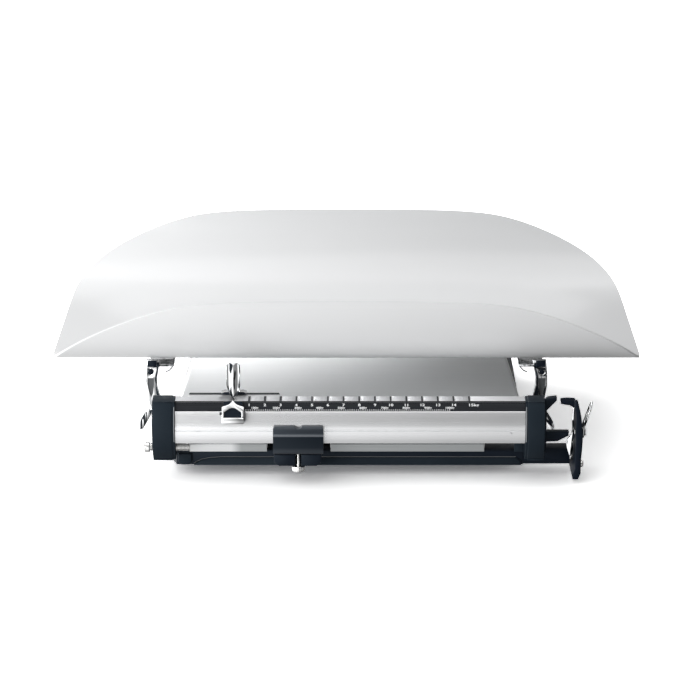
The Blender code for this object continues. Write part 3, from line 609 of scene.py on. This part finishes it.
def build_rail_marks():
    """Black solids in the rail's V notches as painted shade, and a thin black line along the rail."""
    marks = []
    for n in range(1, 16):
        x = KILO_ZERO + n * KILO_PITCH
        wide = 1.05 if n < 4 else 0.8
        notch = ((x - wide, NOTCH_TOP), (x, 73.4), (x + wide, NOTCH_TOP))
        marks.append(slab("tick", notch, "Y", -152.3, -140.1))
    marks.append(slab("rail_line", RAIL_LINE, "X", *BEAM_X))
    dress(join("rail_marks", marks), "beam", "scale_black", finish="black_ink")


# where the front arc of both caps is centred
CAP_Y = -123.2
CAP_Z = 47.95
# arc radius, where the arc meets the flats, top, bottom and back
CAP_BODY = (41.9, -156.2, 75.7, 20.2, -139.0)
CAP_COLLAR = (41.2, -155.6, 75.2, 21.0, -139.4)
CAP_RIM = (41.75, -156.2, 71.5, 38.5, -150.0)
# y and z of the balance screw's axis
ZERO_AXIS = (-150.0, 30.7)


def cap_outline(radius, flat, top, bottom, back):
    """Section of an end cap: an arc in front, straight behind."""
    points = [(back, top), (flat, top)]
    for step in range(25):
        angle = math.radians(140.0 + 80.0 * step / 24)
        y, z = CAP_Y + radius * math.cos(angle), CAP_Z + radius * math.sin(angle)
        if bottom + 0.3 < z < top - 0.3:
            points.append((y, z))
    return points + [(flat, bottom), (back, bottom)]


def build_caps():
    """Moulded end caps: a rounded body, a shadow groove and a thin collar at the beam."""
    for side, outer, inner, way in (("left", -171.5, -151.5, 1.0), ("right", 175.3, 158.5, -1.0)):
        seam = inner - 2.0 * way
        span = sorted((outer, seam - 0.35 * way))
        body = slab("cap_body", cap_outline(*CAP_BODY), "X", *span)
        apply_bevel(body, 1.9, 5, 50.0)
        span = sorted((seam - 0.8 * way, inner))
        collar = slab("cap_collar", cap_outline(*CAP_COLLAR), "X", *span)
        apply_bevel(collar, 0.5, 3, 50.0)
        pieces = [body, collar]
        if side == "left":
            for piece in pieces:
                drill(piece, 4.1, (-161.0, *ZERO_AXIS), "X", 20.0, 20.0)
        cap = join(f"cap_{side}_moulded", pieces)
        smooth(cap, 40.0)
        dress(cap, "beam", "cap_black", [f"cap_{side}"])
        # a thin grey ring at the cap's inner edge: a painted highlight along the edge
        span = sorted((inner - 0.9 * way, inner - 0.2 * way))
        rim = slab(f"cap_rim_{side}", cap_outline(*CAP_RIM), "X", *span)
        apply_bevel(rim, 0.15, 2)
        dress(rim, "beam", "cap_black", finish="worn_edge")


# ------------------------------------------------------------------ sliding weights
def thread(radius, depth, low, high, pitch):
    """A threaded shank's profile, listed from the top down."""
    count = int((high - low) / pitch)
    points = [(0.0, high)]
    for n in range(count):
        z = high - n * pitch
        points += [(radius - depth, z), (radius, z - pitch * 0.35), (radius, z - pitch * 0.6)]
    return points + [(radius - depth, high - count * pitch), (radius - depth, low), (0.0, low)]


# sections of the gram slider, (y, z)
SLIDER_BAR = (
    (-162.0, 58.3), (-166.2, 58.3), (-166.9, 59.4), (-166.5, 62.4), (-165.2, 63.9), (-161.6, 63.9))
SLIDER_POST = ((-160.6, 61.8), (-163.6, 61.8), (-163.2, 69.4), (-161.0, 69.4))
SLIDER_SIDE = ((-160.8, 61.0), (-166.0, 61.0), (-165.6, 68.8), (-160.8, 69.6))
SLIDER_CORE = (
    (-153.2, 75.2), (-155.4, 75.4), (-160.2, 70.2), (-162.2, 66.0), (-162.2, 58.6), (-160.9, 58.6),
    (-160.6, 60.4), (-158.2, 67.0), (-157.8, 68.2), (-153.5, 74.4))
ROOF_EAVES = 68.4
# half of the index: distance from its middle and height, along the roof and under the arch
ROOF = (
    (9.8, ROOF_EAVES), (9.8, 72.0), (8.6, 72.5), (6.0, 73.1), (3.2, 74.0), (1.4, 75.3), (0.4, 76.5))
ARCH = ((7.6, 68.5), (5.4, 69.6), (3.0, 70.9), (1.2, 71.5))
# how far the index leans back for each unit of height
ROOF_LEAN = 0.92


def build_gram_poise():
    """Chrome slider: lower bar, side posts and a roof-shaped index over a dark window."""
    x = KILO_ZERO - 0.3
    bar = slab("bar", SLIDER_BAR, "X", x - 9.8, x + 9.8)
    apply_bevel(bar, 0.5, 4)
    pieces = [bar]
    for side in (-1.0, 1.0):
        span = sorted((x + side * 7.6, x + side * 9.6))
        post = slab("post", SLIDER_POST, "X", *span)
        apply_bevel(post, 0.4, 3)
        pieces.append(post)
    outline = [(x - a, z) for a, z in ROOF] + [(x + a, z) for a, z in reversed(ROOF)]
    outline += [(x + a, z) for a, z in ARCH] + [(x - a, z) for a, z in reversed(ARCH)]
    roof = slab("roof", outline, "Y", -163.6, -162.4)
    only(roof)
    for vert in roof.data.vertices:
        vert.co.y += (vert.co.z - ROOF_EAVES * MM) * ROOF_LEAN
    apply_bevel(roof, 0.35, 3)
    pieces.append(roof)
    plate = join("gram_poise_chrome", pieces)
    smooth(plate, 40.0)
    dress(plate, "gram_poise", "chrome", ["gram_poise"])
    core = slab("gram_poise_core", SLIDER_CORE, "X", x - 8.2, x + 8.2)
    smooth(core, 30.0)
    dress(core, "gram_poise", "chrome", finish="cast_black")
    plate = slab("gram_poise_plate", SLIDER_SIDE, "X", x + 10.0, x + 11.0)
    nib = block("nib", (x - 11.6, x - 9.8), (-165.0, -162.0), (66.4, 68.2))
    stop = join("gram_poise_stop", [plate, nib])
    apply_bevel(stop, 0.25, 2)
    dress(stop, "gram_poise", "chrome", finish="black_ink")


HANDLE_Y = -148.9
HANDLE_FOOT = 75.4
HANDLE_HEIGHT = 32.0
# half widths from the pointer tip up
HANDLE_WIDTHS = (0.5, 4.0, 5.8, 5.9, 6.0, 5.7)
BAR_REACH = 40.4
# the bar's section, (y, z)
BAR_SECTION = ((-139.6, 59.0), (-139.6, 75.0), (-135.4, 75.0), (-135.4, 59.0))
# outlines from the front: distance from the poise's middle and height
BAR_EDGE = (
    (-BAR_REACH, 60.0), (-BAR_REACH, 75.2), (-39.6, 76.0), (39.6, 76.0), (BAR_REACH, 75.2),
    (BAR_REACH, 60.0))
SADDLE = ((-11.0, 76.5), (11.0, 76.5), (10.6, 77.4), (8.4, 78.6), (-8.4, 78.6), (-10.6, 77.4))
WING = ((4.6, 78.5), (11.4, 77.5), (11.2, 78.3), (5.4, 79.1))


def build_kilo_poise():
    """Fluted chrome handle that tapers to its pointer tip, on a flared black saddle."""
    x = KILO_ZERO
    bpy.ops.object.select_all(action="DESELECT")
    bpy.ops.mesh.primitive_grid_add(x_subdivisions=24, y_subdivisions=30, size=2.0)
    handle = bpy.context.object
    handle.name = "kilo_handle_fluted"
    widths = curve_through([(width, 0, 0) for width in HANDLE_WIDTHS], 6)
    for vert in handle.data.vertices:
        across, up = vert.co.x, (vert.co.y + 1.0) / 2.0
        width = widths[min(len(widths) - 1, int(up * (len(widths) - 1) + 0.5))].x
        fold = 0.9 * math.cos(3.0 * math.pi * across / 2.0) * min(1.0, up * 2.5)
        lobe = 1.6 * abs(math.sin(math.pi * across)) * max(0.0, up - 0.85) / 0.15
        round_off = 1.5 * max(0.0, abs(across) - 0.7) * up
        height = HANDLE_FOOT + HANDLE_HEIGHT * up + lobe - round_off
        vert.co = Vector((x + across * width, HANDLE_Y - fold + 0.3 * across * across, height)) * MM
    sheet = handle.modifiers.new("sheet", "SOLIDIFY")
    sheet.thickness = 1.0 * MM
    sheet.offset = 0.0
    only(handle)
    bpy.ops.object.modifier_apply(modifier=sheet.name)
    apply_bevel(handle, 0.3, 3, 60.0)
    smooth(handle, 60.0)
    dress(handle, "kilo_poise", "chrome", ["kilo_handle"], "drawn_chrome")
    cone = ((0.0, 1.4), (0.7, 1.4), (0.9, 0.0), (0.0, 0.0))
    tip = turned("kilo_tip", cone, (x, -149.2, 75.3), "Z", 20)
    smooth(tip, 40.0)
    dress(tip, "kilo_poise", "chrome", finish="black_ink")
    bar = slab("kilo_bar_top", BAR_SECTION, "X", x - BAR_REACH, x + BAR_REACH)
    apply_bevel(bar, 0.3, 2)
    dress(bar, "kilo_poise", "steel", ["kilo_bar"], "rail_aluminium")
    rear = slab("kilo_bar_edge", [(x + a, z) for a, z in BAR_EDGE], "Y", -135.3, -133.4)
    apply_bevel(rear, 0.3, 2)
    dress(rear, "kilo_poise", "steel", finish="black_ink")
    saddle = slab("kilo_saddle_flared", [(x + a, z) for a, z in SADDLE], "Y", -140.0, -132.4)
    neck = block("neck", (x - 1.3, x + 1.3), (-149.2, -139.0), (76.6, 78.4))
    saddle = join("kilo_saddle_flared", [saddle, neck])
    apply_bevel(saddle, 0.35, 3)
    smooth(saddle, 40.0)
    dress(saddle, "kilo_poise", "cast_black", ["kilo_saddle"])
    wings = []
    for side in (-1.0, 1.0):
        wings.append(slab("wing", [(x + side * a, z) for a, z in WING], "Y", -139.2, -133.6))
    wings = join("kilo_wings", wings)
    apply_bevel(wings, 0.2, 2)
    dress(wings, "kilo_poise", "cast_black", finish="zinc")


TARE_X = -42.4
# section of the clamp block, (y, z)
TARE_SECTION = (
    (-162.4, 55.9), (-166.6, 55.9), (-168.2, 55.0), (-168.7, 51.2), (-169.6, 50.6), (-169.9, 48.8),
    (-169.4, 47.8), (-169.2, 36.0), (-168.0, 31.4), (-166.4, 30.0), (-153.4, 30.0), (-153.4, 36.9),
    (-155.9, 36.9), (-155.9, 43.6), (-158.0, 43.6), (-158.0, 37.9), (-161.2, 37.9), (-162.4, 42.0))
TARE_CORNER = 2.2
THUMB_Y = -163.4
# the fluted head: radius and height over its lower end
THUMB_HEAD = (
    (2.0, 5.2), (4.6, 5.2), (5.4, 4.9), (5.8, 4.2), (5.8, 0.9), (5.4, 0.25), (4.7, 0.0), (0.0, 0.0))
FLUTES = 20
FLUTE_CIRCLE = 6.15


def build_tare_poise():
    """Black clamp block with a rolled ledge, and its threaded, fluted thumb screw."""
    x = TARE_X
    body = slab("tare_block_cast", TARE_SECTION, "X", x - 22.3, x + 22.3)
    drill(body, 4.2, (x, -166.0, 58.6), "Y", 9.0, 9.0, 40)
    turns = [n * math.pi / 16 for n in range(9)]
    corner = [(20.0 + TARE_CORNER * math.sin(a), 53.9 + TARE_CORNER * math.cos(a)) for a in turns]
    half = corner + [(b, 86.0 - z) for b, z in reversed(corner)]
    face = [(x + b, z) for b, z in half] + [(x - b, z) for b, z in reversed(half)]
    cut(body, slab("face", face, "Y", -171.0, -152.0), "INTERSECT")
    drill(body, 2.5, (x, THUMB_Y, 31.0), "Z", 5.0, 8.0, 32)
    apply_bevel(body, 0.5, 4, 35.0)
    smooth(body, 40.0)
    dress(body, "tare_poise", "cast_black", ["tare_block"], "tare_black")
    profile = thread(2.05, 0.28, 5.2, 21.0, 0.8)[:-1] + list(THUMB_HEAD)
    screw = turned("tare_screw_threaded", profile, (x, THUMB_Y, 13.4), "Z", 64)
    for n in range(FLUTES):
        angle = math.tau * n / FLUTES
        across, along = FLUTE_CIRCLE * math.cos(angle), FLUTE_CIRCLE * math.sin(angle)
        drill(screw, 0.62, (x + across, THUMB_Y + along, 16.0), "Z", 4.0, 4.0, 10)
    smooth(screw, 40.0)
    dress(screw, "tare_screw", "zinc", ["tare_screw"])


def build_zero_screw():
    """Threaded rod of the balance screw."""
    rod = turned("zero_rod_threaded", thread(3.75, 0.5, 0.6, 36.0, 1.25), (-175.0, *ZERO_AXIS), "X")
    smooth(rod, 40.0)
    dress(rod, "zero_screw", "zinc", ["zero_rod"])


# ------------------------------------------------------------------ base and brackets
# y and z of the lock's axis
LOCK_AXIS = (-150.0, 45.0)
LIP_FRONT = -139.4
LIP_BACK = -135.2
LIP_FOOT = 8.7
LIP_LEAN = 0.38
# outlines seen from the front, (x, z)
LIP = (
    (-137.0, LIP_FOOT), (-135.0, 10.4), (-130.0, 12.9), (-123.0, 14.4), (-113.0, 15.2),
    (152.0, 15.2), (156.0, 12.4), (157.0, LIP_FOOT))
LEFT_BOSS = (
    (-150.8, 19.6), (-150.8, 11.5), (-148.0, 8.8), (-141.0, 8.8), (-138.4, 11.5), (-138.4, 19.6))
RIDGE = ((-137.2, 9.0), (-135.2, 10.7), (-130.2, 13.2), (-123.0, 14.8), (-113.0, 15.6), (152.0, 15.6))
RIDGE_WIDTH = 0.5
# section of the hem, (y, z), and where each stretch of it runs
HEM_SECTION = ((-137.4, 21.1), (-137.4, 28.0), (-136.9, 28.6), (-133.8, 28.6), (-133.8, 21.1))
HEMS = (("left", -140.5, -71.0), ("right", -14.0, 123.6))


def build_base():
    """The black frame with its sloping front lip, rounded left boss and the cover's hems."""
    smooth(refined("base_frame"), 35.0)
    lip = slab("lip", LIP, "Y", LIP_FRONT, LIP_BACK)
    middle = (LIP_FRONT + LIP_BACK) / 2.0 * MM
    for vert in lip.data.vertices:
        if vert.co.y < middle:
            vert.co.y += (vert.co.z - LIP_FOOT * MM) * LIP_LEAN
    apply_bevel(lip, 0.5, 3)
    end = slab("end", LEFT_BOSS, "Y", -138.7, LIP_BACK)
    apply_bevel(end, 1.2, 4)
    shoulder = block("shoulder", (150.4, 160.0), (-137.4, -135.6), (20.9, 37.6))
    apply_bevel(shoulder, 0.5, 3)
    whole = join("base_front_lip", [lip, end, shoulder])
    smooth(whole, 35.0)
    dress(whole, "base", "cast_black", finish="cap_black")
    # for side, low, high in HEMS:  # painted light and painted shade: the hem steel is bright at the
    # left hem's outer end and darker elsewhere
    for side, low, high in HEMS:
        hem = slab(f"deck_hem_{side}", HEM_SECTION, "X", low, high)
        apply_bevel(hem, 0.3, 3)
        dress(hem, "base", "deck_steel", finish="hem_steel")
    # a thin grey strip along the lip's upper edge: a painted highlight
    top = [(a, b + RIDGE_WIDTH) for a, b in reversed(RIDGE)]
    edge = slab("base_front_ridge", list(RIDGE) + top, "Y", -136.6, LIP_BACK)
    dress(edge, "base", "cast_black", finish="recess_grey")


# the post from the front, (x, z), and from its side, (y, z)
POST_FRONT = (
    (200.9, 4.6), (200.9, 8.0), (203.2, 14.0), (203.2, 64.0), (202.0, 70.0), (202.0, 76.0),
    (204.4, 74.8), (206.2, 69.0), (207.8, 60.0), (209.0, 48.0), (209.2, 40.0), (208.6, 28.0),
    (208.2, 24.0), (208.2, 10.0), (206.0, 4.0), (201.2, 4.0))
POST_SIDE = (
    (-163.0, 3.0), (-125.0, 3.0), (-125.0, 64.0), (-128.0, 66.8), (-140.0, 71.6), (-151.0, 75.2),
    (-156.0, 76.2), (-163.0, 76.2))
FIXED_POINTER = (
    (190.4, 69.6), (190.3, 71.9), (196.0, 72.6), (203.0, 72.2), (204.6, 69.0), (204.0, 64.6),
    (202.9, 65.8), (198.0, 68.4))


def build_post():
    """Bowed indicator post, its head sloping back, with the fixed pointer."""
    post = slab("post", POST_FRONT, "Y", -162.0, -126.0)
    cut(post, slab("side", POST_SIDE, "X", 195.0, 215.0), "INTERSECT")
    pointer = slab("pointer", FIXED_POINTER, "Y", -146.0, -136.0)
    drill(post, 2.4, (206.0, *LOCK_AXIS), "X", 20.0, 20.0, 32)
    apply_bevel(post, 0.6, 3, 35.0)
    apply_bevel(pointer, 0.4, 3, 35.0)
    post = join("indicator_post", [post, pointer])
    smooth(post, 35.0)
    dress(post, "base", "cast_black", ["indicator_bracket"], "post_black")


def wire(name, points, radius, body, finish):
    """A bent wire through points in millimetres."""
    data = bpy.data.curves.new(name, "CURVE")
    data.dimensions = "3D"
    data.bevel_depth = radius * MM
    data.bevel_resolution = 3
    data.use_fill_caps = True
    line = curve_through(points, 6)
    run = data.splines.new("POLY")
    run.points.add(len(line) - 1)
    for point, place in zip(run.points, line):
        point.co = (*(place * MM), 1.0)
    piece = bpy.data.objects.new(name, data)
    bpy.context.scene.collection.objects.link(piece)
    only(piece)
    bpy.ops.object.convert(target="MESH")
    piece = bpy.context.object
    smooth(piece, 60.0)
    return dress(piece, body, "steel", finish=finish)


# outlines on a bracket's face, (x, z)
BRACKET_SLOT = (
    (174.4, 73.4), (180.6, 73.4), (180.8, 68.0), (179.4, 60.0), (177.4, 54.5), (175.8, 58.0),
    (174.8, 66.0))
BUFFER_PAD = ((172.2, 84.4), (180.6, 84.4), (180.0, 90.6), (171.6, 90.6))
PLUG_X = 177.4
PLUG_Z = 79.5
PLUG_RADIUS = 2.35
# y of the outer face of the front and back brackets
BRACKET_FACES = (("f", -88.3), ("b", 131.3))
HOOK_WIRE = (
    (156.0, -84.0, 92.0), (156.6, -85.0, 88.0), (157.8, -86.0, 83.6), (161.0, -86.5, 80.2),
    (164.0, -86.0, 79.0))


def build_brackets():
    """Tray brackets with a pressed slot, a black buffer pad and a plugged hole."""
    for end, front in BRACKET_FACES:
        way = 1.0 if end == "f" else -1.0
        for side, s in (("l", -1.0), ("r", 1.0)):
            name = f"bracket_{end}{side}"
            leg = refined(name)
            span = sorted((front - 1.0 * way, front + 1.4 * way))
            tool = slab("slot_tool", [(s * x, z) for x, z in BRACKET_SLOT], "Y", *span)
            cut(leg, tool)
            smooth(leg, 35.0)
            # a grey plate set just behind each cut slot: painted shade in the slot
            smaller = [(s * (x * 0.96 + 7.1), z * 0.96 + 2.6) for x, z in BRACKET_SLOT]
            span = sorted((front + 1.3 * way, front + 2.2 * way))
            shade = slab(f"{name}_recess", smaller, "Y", *span)
            dress(shade, "platform", "chrome", finish="recess_grey")
            span = sorted((front - 1.2 * way, front - 0.1 * way))
            pad = slab("pad", [(s * x, z) for x, z in BUFFER_PAD], "Y", *span)
            apply_bevel(pad, 0.3, 2)
            low, high = sorted((front - 0.5 * way, front + 2.6 * way))
            profile = ((0.0, high - low), (PLUG_RADIUS, high - low), (PLUG_RADIUS, 0.0), (0.0, 0.0))
            plug = turned("plug", profile, (s * PLUG_X, low, PLUG_Z), "Y", 24)
            apply_bevel(plug, 0.3, 2, 50.0)
            extra = join(f"{name}_pad", [pad, plug])
            smooth(extra, 40.0)
            dress(extra, "platform", "chrome", finish="cast_black")
    for side, s in (("l", -1.0), ("r", 1.0)):
        path = [(s * x, y, z) for x, y, z in HOOK_WIRE]
        wire(f"hook_{side}", path, 0.55, "platform", "black_ink")


# ------------------------------------------------------------------ printed scale
STRIP_LOW = Vector((0.0, -157.266, 67.412))
STRIP_HIGH = Vector((0.0, -152.866, 73.712))
# height of a capital in the font, as a share of its size
CAPITAL = 0.72


def on_strip(x, share, lift=0.03):
    """A point on the scale strip: share runs from its lower edge to its upper edge."""
    up = (STRIP_HIGH - STRIP_LOW).normalized()
    out = Vector((0.0, -up.z, up.y))
    return STRIP_LOW.lerp(STRIP_HIGH, share) + Vector((x, 0.0, 0.0)) + out * lift


def figures(text, x, share, height, stretch=1.45):
    """A printed figure, centred at x, standing on a line of the strip."""
    bpy.ops.object.select_all(action="DESELECT")
    bpy.ops.object.text_add()
    mark = bpy.context.object
    mark.data.body = text
    mark.data.align_x = "CENTER"
    mark.data.size = 1.0
    mark.data.extrude = 0.004
    mark.data.resolution_u = 3
    mark.data.offset = 0.02
    bpy.ops.object.convert(target="MESH")
    mark = bpy.context.object
    size = height / CAPITAL * MM
    up = (STRIP_HIGH - STRIP_LOW).normalized()
    out = Vector((0.0, -up.z, up.y))
    columns = (Vector((1.0, 0.0, 0.0)) * size * stretch, up * size, out * size)
    turn = Matrix([[columns[c][r] for c in range(3)] for r in range(3)]).to_4x4()
    mark.matrix_world = Matrix.Translation(on_strip(x, share) * MM) @ turn
    settle(mark)
    return mark


def dash(x, share, length, width):
    """A printed line across the strip from one share of its height, upwards."""
    low, high = on_strip(x, share), on_strip(x, share + length)
    up = (high - low).normalized()
    out = Vector((0.0, -up.z, up.y))
    side = Vector((width / 2.0, 0.0, 0.0))
    corners = [low - side, low + side, high + side, high - side]
    points = [p * MM for p in corners] + [(p + out * 0.02) * MM for p in corners]
    faces = [(3, 2, 1, 0), (4, 5, 6, 7), (0, 1, 5, 4), (1, 2, 6, 5), (2, 3, 7, 6), (3, 0, 4, 7)]
    return points, faces


def build_scale():
    """Kilogram and gram figures and the fine gram divisions."""
    marks = [figures(str(n), KILO_ZERO + n * KILO_PITCH, 0.58, 2.3) for n in range(1, 15)]
    marks.append(figures("15kg", KILO_ZERO + 15 * KILO_PITCH + 3.6, 0.57, 2.4, 1.5))
    for n in range(1, 11):
        marks.append(figures(f"{n * 100}g", GRAM_ZERO + n * GRAM_PITCH, 0.27, 1.8, 1.35))
    dress(join("scale_figures", marks), "beam", "scale_black", finish="white_ink")
    points, faces = [], []
    for n in range(101):
        length = 0.18 if n % 10 == 0 else 0.15 if n % 5 == 0 else 0.12
        some, sides = dash(GRAM_ZERO + n * GRAM_PITCH / 10.0, 0.05, length, 0.6)
        faces += [tuple(i + len(points) for i in side) for side in sides]
        points += some
    mesh = bpy.data.meshes.new("gram_divisions")
    mesh.from_pydata([tuple(p) for p in points], [], faces)
    divisions = bpy.data.objects.new("gram_divisions", mesh)
    bpy.context.scene.collection.objects.link(divisions)
    dress(divisions, "beam", "scale_black", finish="white_ink")


# ------------------------------------------------------------------ studio
# brightness of the studio's surround by height (0 straight down, 1 straight up) and by side
SURROUND_HEIGHT = (
    (0.0, 0.30), (0.20, 0.72), (0.36, 1.0), (0.47, 0.95), (0.53, 0.66), (0.60, 0.30),
    (0.66, 0.34), (0.75, 0.55), (1.0, 0.85))
SURROUND_SIDE = ((0.0, 1.92), (0.41, 1.70), (0.545, 0.42), (1.0, 0.25))
FLOOR_SHADE = 1.9
FLOOR_GLOW = 0.12
CAMERA_PLACE = (0.0033, -2.2445, 0.8513)
CAMERA_TILT = 70.8
CAMERA_LENS = 129.9
# name, what it lights, place, aim, (width, height) in metres, brightness
LAMPS = (
    ("key", "object", (-0.95, -0.80, 0.19), (-0.05, -0.1, 0.06), (1.1, 0.28), 4.4),
    ("top", "object", (0.3, 0.3, 1.9), (0.0, 0.0, 0.0), (2.4, 2.4), 1.3),
    ("back_left", "cover", (-0.80, 1.35, 0.18), (-0.2, 0.0, 0.05), (1.9, 0.34), 15.0),
    ("low_left", "object", (-0.82, -0.85, 0.05), (-0.1, 0.0, 0.05), (1.2, 0.10), 4.2),
    ("front_left", "object", (-1.10, -1.25, 0.62), (0.0, 0.0, 0.08), (1.5, 0.8), 3.0),
    ("floor_back", "floor", (0.0, 1.1, 1.9), (0.0, 0.0, 0.0), (2.2, 1.2), 2.2),
    ("floor_left", "floor", (-1.5, 0.5, 0.6), (0.0, 0.0, 0.0), (1.2, 0.8), 2.2),
    ("floor_right", "floor", (1.5, 0.5, 0.6), (0.0, 0.0, 0.0), (1.2, 0.8), 2.2),
)


def stage_light(lamp, floor, lights):
    """A lamp lights the object alone, the object without its tray, or the floor alone."""
    group = bpy.data.collections.new(lamp.name + "_on")
    group.objects.link(floor)
    if lights == "cover":
        group.objects.link(bpy.data.objects["tray_shell"])
    lamp.light_linking.receiver_collection = group
    for entry in group.collection_objects:
        entry.light_linking.link_state = "INCLUDE" if lights == "floor" else "EXCLUDE"


def build_studio():
    """Pale floor, soft light from the left, and the camera."""
    bpy.ops.object.select_all(action="DESELECT")
    bpy.ops.mesh.primitive_circle_add(vertices=96, radius=9.0, fill_type="NGON")
    floor = bpy.context.object
    floor.name = "studio_floor"
    pale = bpy.data.materials.new("studio_floor")
    pale.use_nodes = True
    tree = pale.node_tree
    tree.nodes.remove(tree.nodes["Principled BSDF"])
    matt = tree.nodes.new("ShaderNodeBsdfDiffuse")
    matt.inputs["Color"].default_value = (FLOOR_SHADE, FLOOR_SHADE, FLOOR_SHADE, 1.0)
    glow = tree.nodes.new("ShaderNodeEmission")
    glow.inputs["Strength"].default_value = FLOOR_GLOW
    both = tree.nodes.new("ShaderNodeAddShader")
    tree.links.new(matt.outputs[0], both.inputs[0])
    tree.links.new(glow.outputs[0], both.inputs[1])
    tree.links.new(both.outputs[0], tree.nodes["Material Output"].inputs["Surface"])
    floor.data.materials.append(pale)
    floor.visible_diffuse = False
    floor.visible_glossy = False

    world = bpy.data.worlds.new("studio")
    bpy.context.scene.world = world
    world.use_nodes = True
    tree = world.node_tree
    sky = tree.nodes["Background"]
    place = tree.nodes.new("ShaderNodeTexCoord")
    split = tree.nodes.new("ShaderNodeSeparateXYZ")
    tree.links.new(place.outputs["Generated"], split.inputs[0])
    fades = (("Z", SURROUND_HEIGHT, "Color"), ("X", SURROUND_SIDE, "Strength"))
    for axis, stops, target in fades:
        share = tree.nodes.new("ShaderNodeMapRange")
        share.inputs["From Min"].default_value = -1.0
        tree.links.new(split.outputs[axis], share.inputs["Value"])
        ramp = tree.nodes.new("ShaderNodeValToRGB")
        Finish.fill_ramp(ramp.color_ramp, stops)
        tree.links.new(share.outputs[0], ramp.inputs[0])
        tree.links.new(ramp.outputs[0], sky.inputs[target])

    for name, lights, where, aim, size, radiance in LAMPS:
        bpy.ops.object.light_add(type="AREA", location=where)
        lamp = bpy.context.object
        lamp.name = "lamp_" + name
        lamp.data.shape = "RECTANGLE"
        lamp.data.size, lamp.data.size_y = size
        lamp.data.energy = radiance * math.pi * size[0] * size[1]
        lamp.visible_camera = False
        turn = Vector(aim) - lamp.location
        lamp.rotation_euler = turn.to_track_quat("-Z", "Y").to_euler()
        stage_light(lamp, floor, lights)

    tilt = (math.radians(CAMERA_TILT), 0.0, 0.0)
    bpy.ops.object.camera_add(location=CAMERA_PLACE, rotation=tilt)
    camera = bpy.context.object
    camera.data.lens = CAMERA_LENS
    camera.data.sensor_width = 36.0
    camera.data.clip_end = 100.0
    scene = bpy.context.scene
    scene.camera = camera
    scene.view_settings.view_transform = "Standard"


# nodes whose pieces the functions above make
REMADE = {
    "tray", "beam_profile", "cap_left", "cap_right", "gram_poise", "kilo_handle", "kilo_saddle",
    "kilo_bar", "tare_block", "tare_screw", "zero_rod", "base_frame", "indicator_bracket",
    "bracket_fl", "bracket_fr", "bracket_bl", "bracket_br"}
for node_name in BODY_OF:
    if node_name not in REMADE:
        refined(node_name)
build_tray()
build_beam()
build_rail_marks()
build_caps()
build_gram_poise()
build_kilo_poise()
build_tare_poise()
build_zero_screw()
build_base()
build_post()
build_brackets()
build_scale()
build_studio()
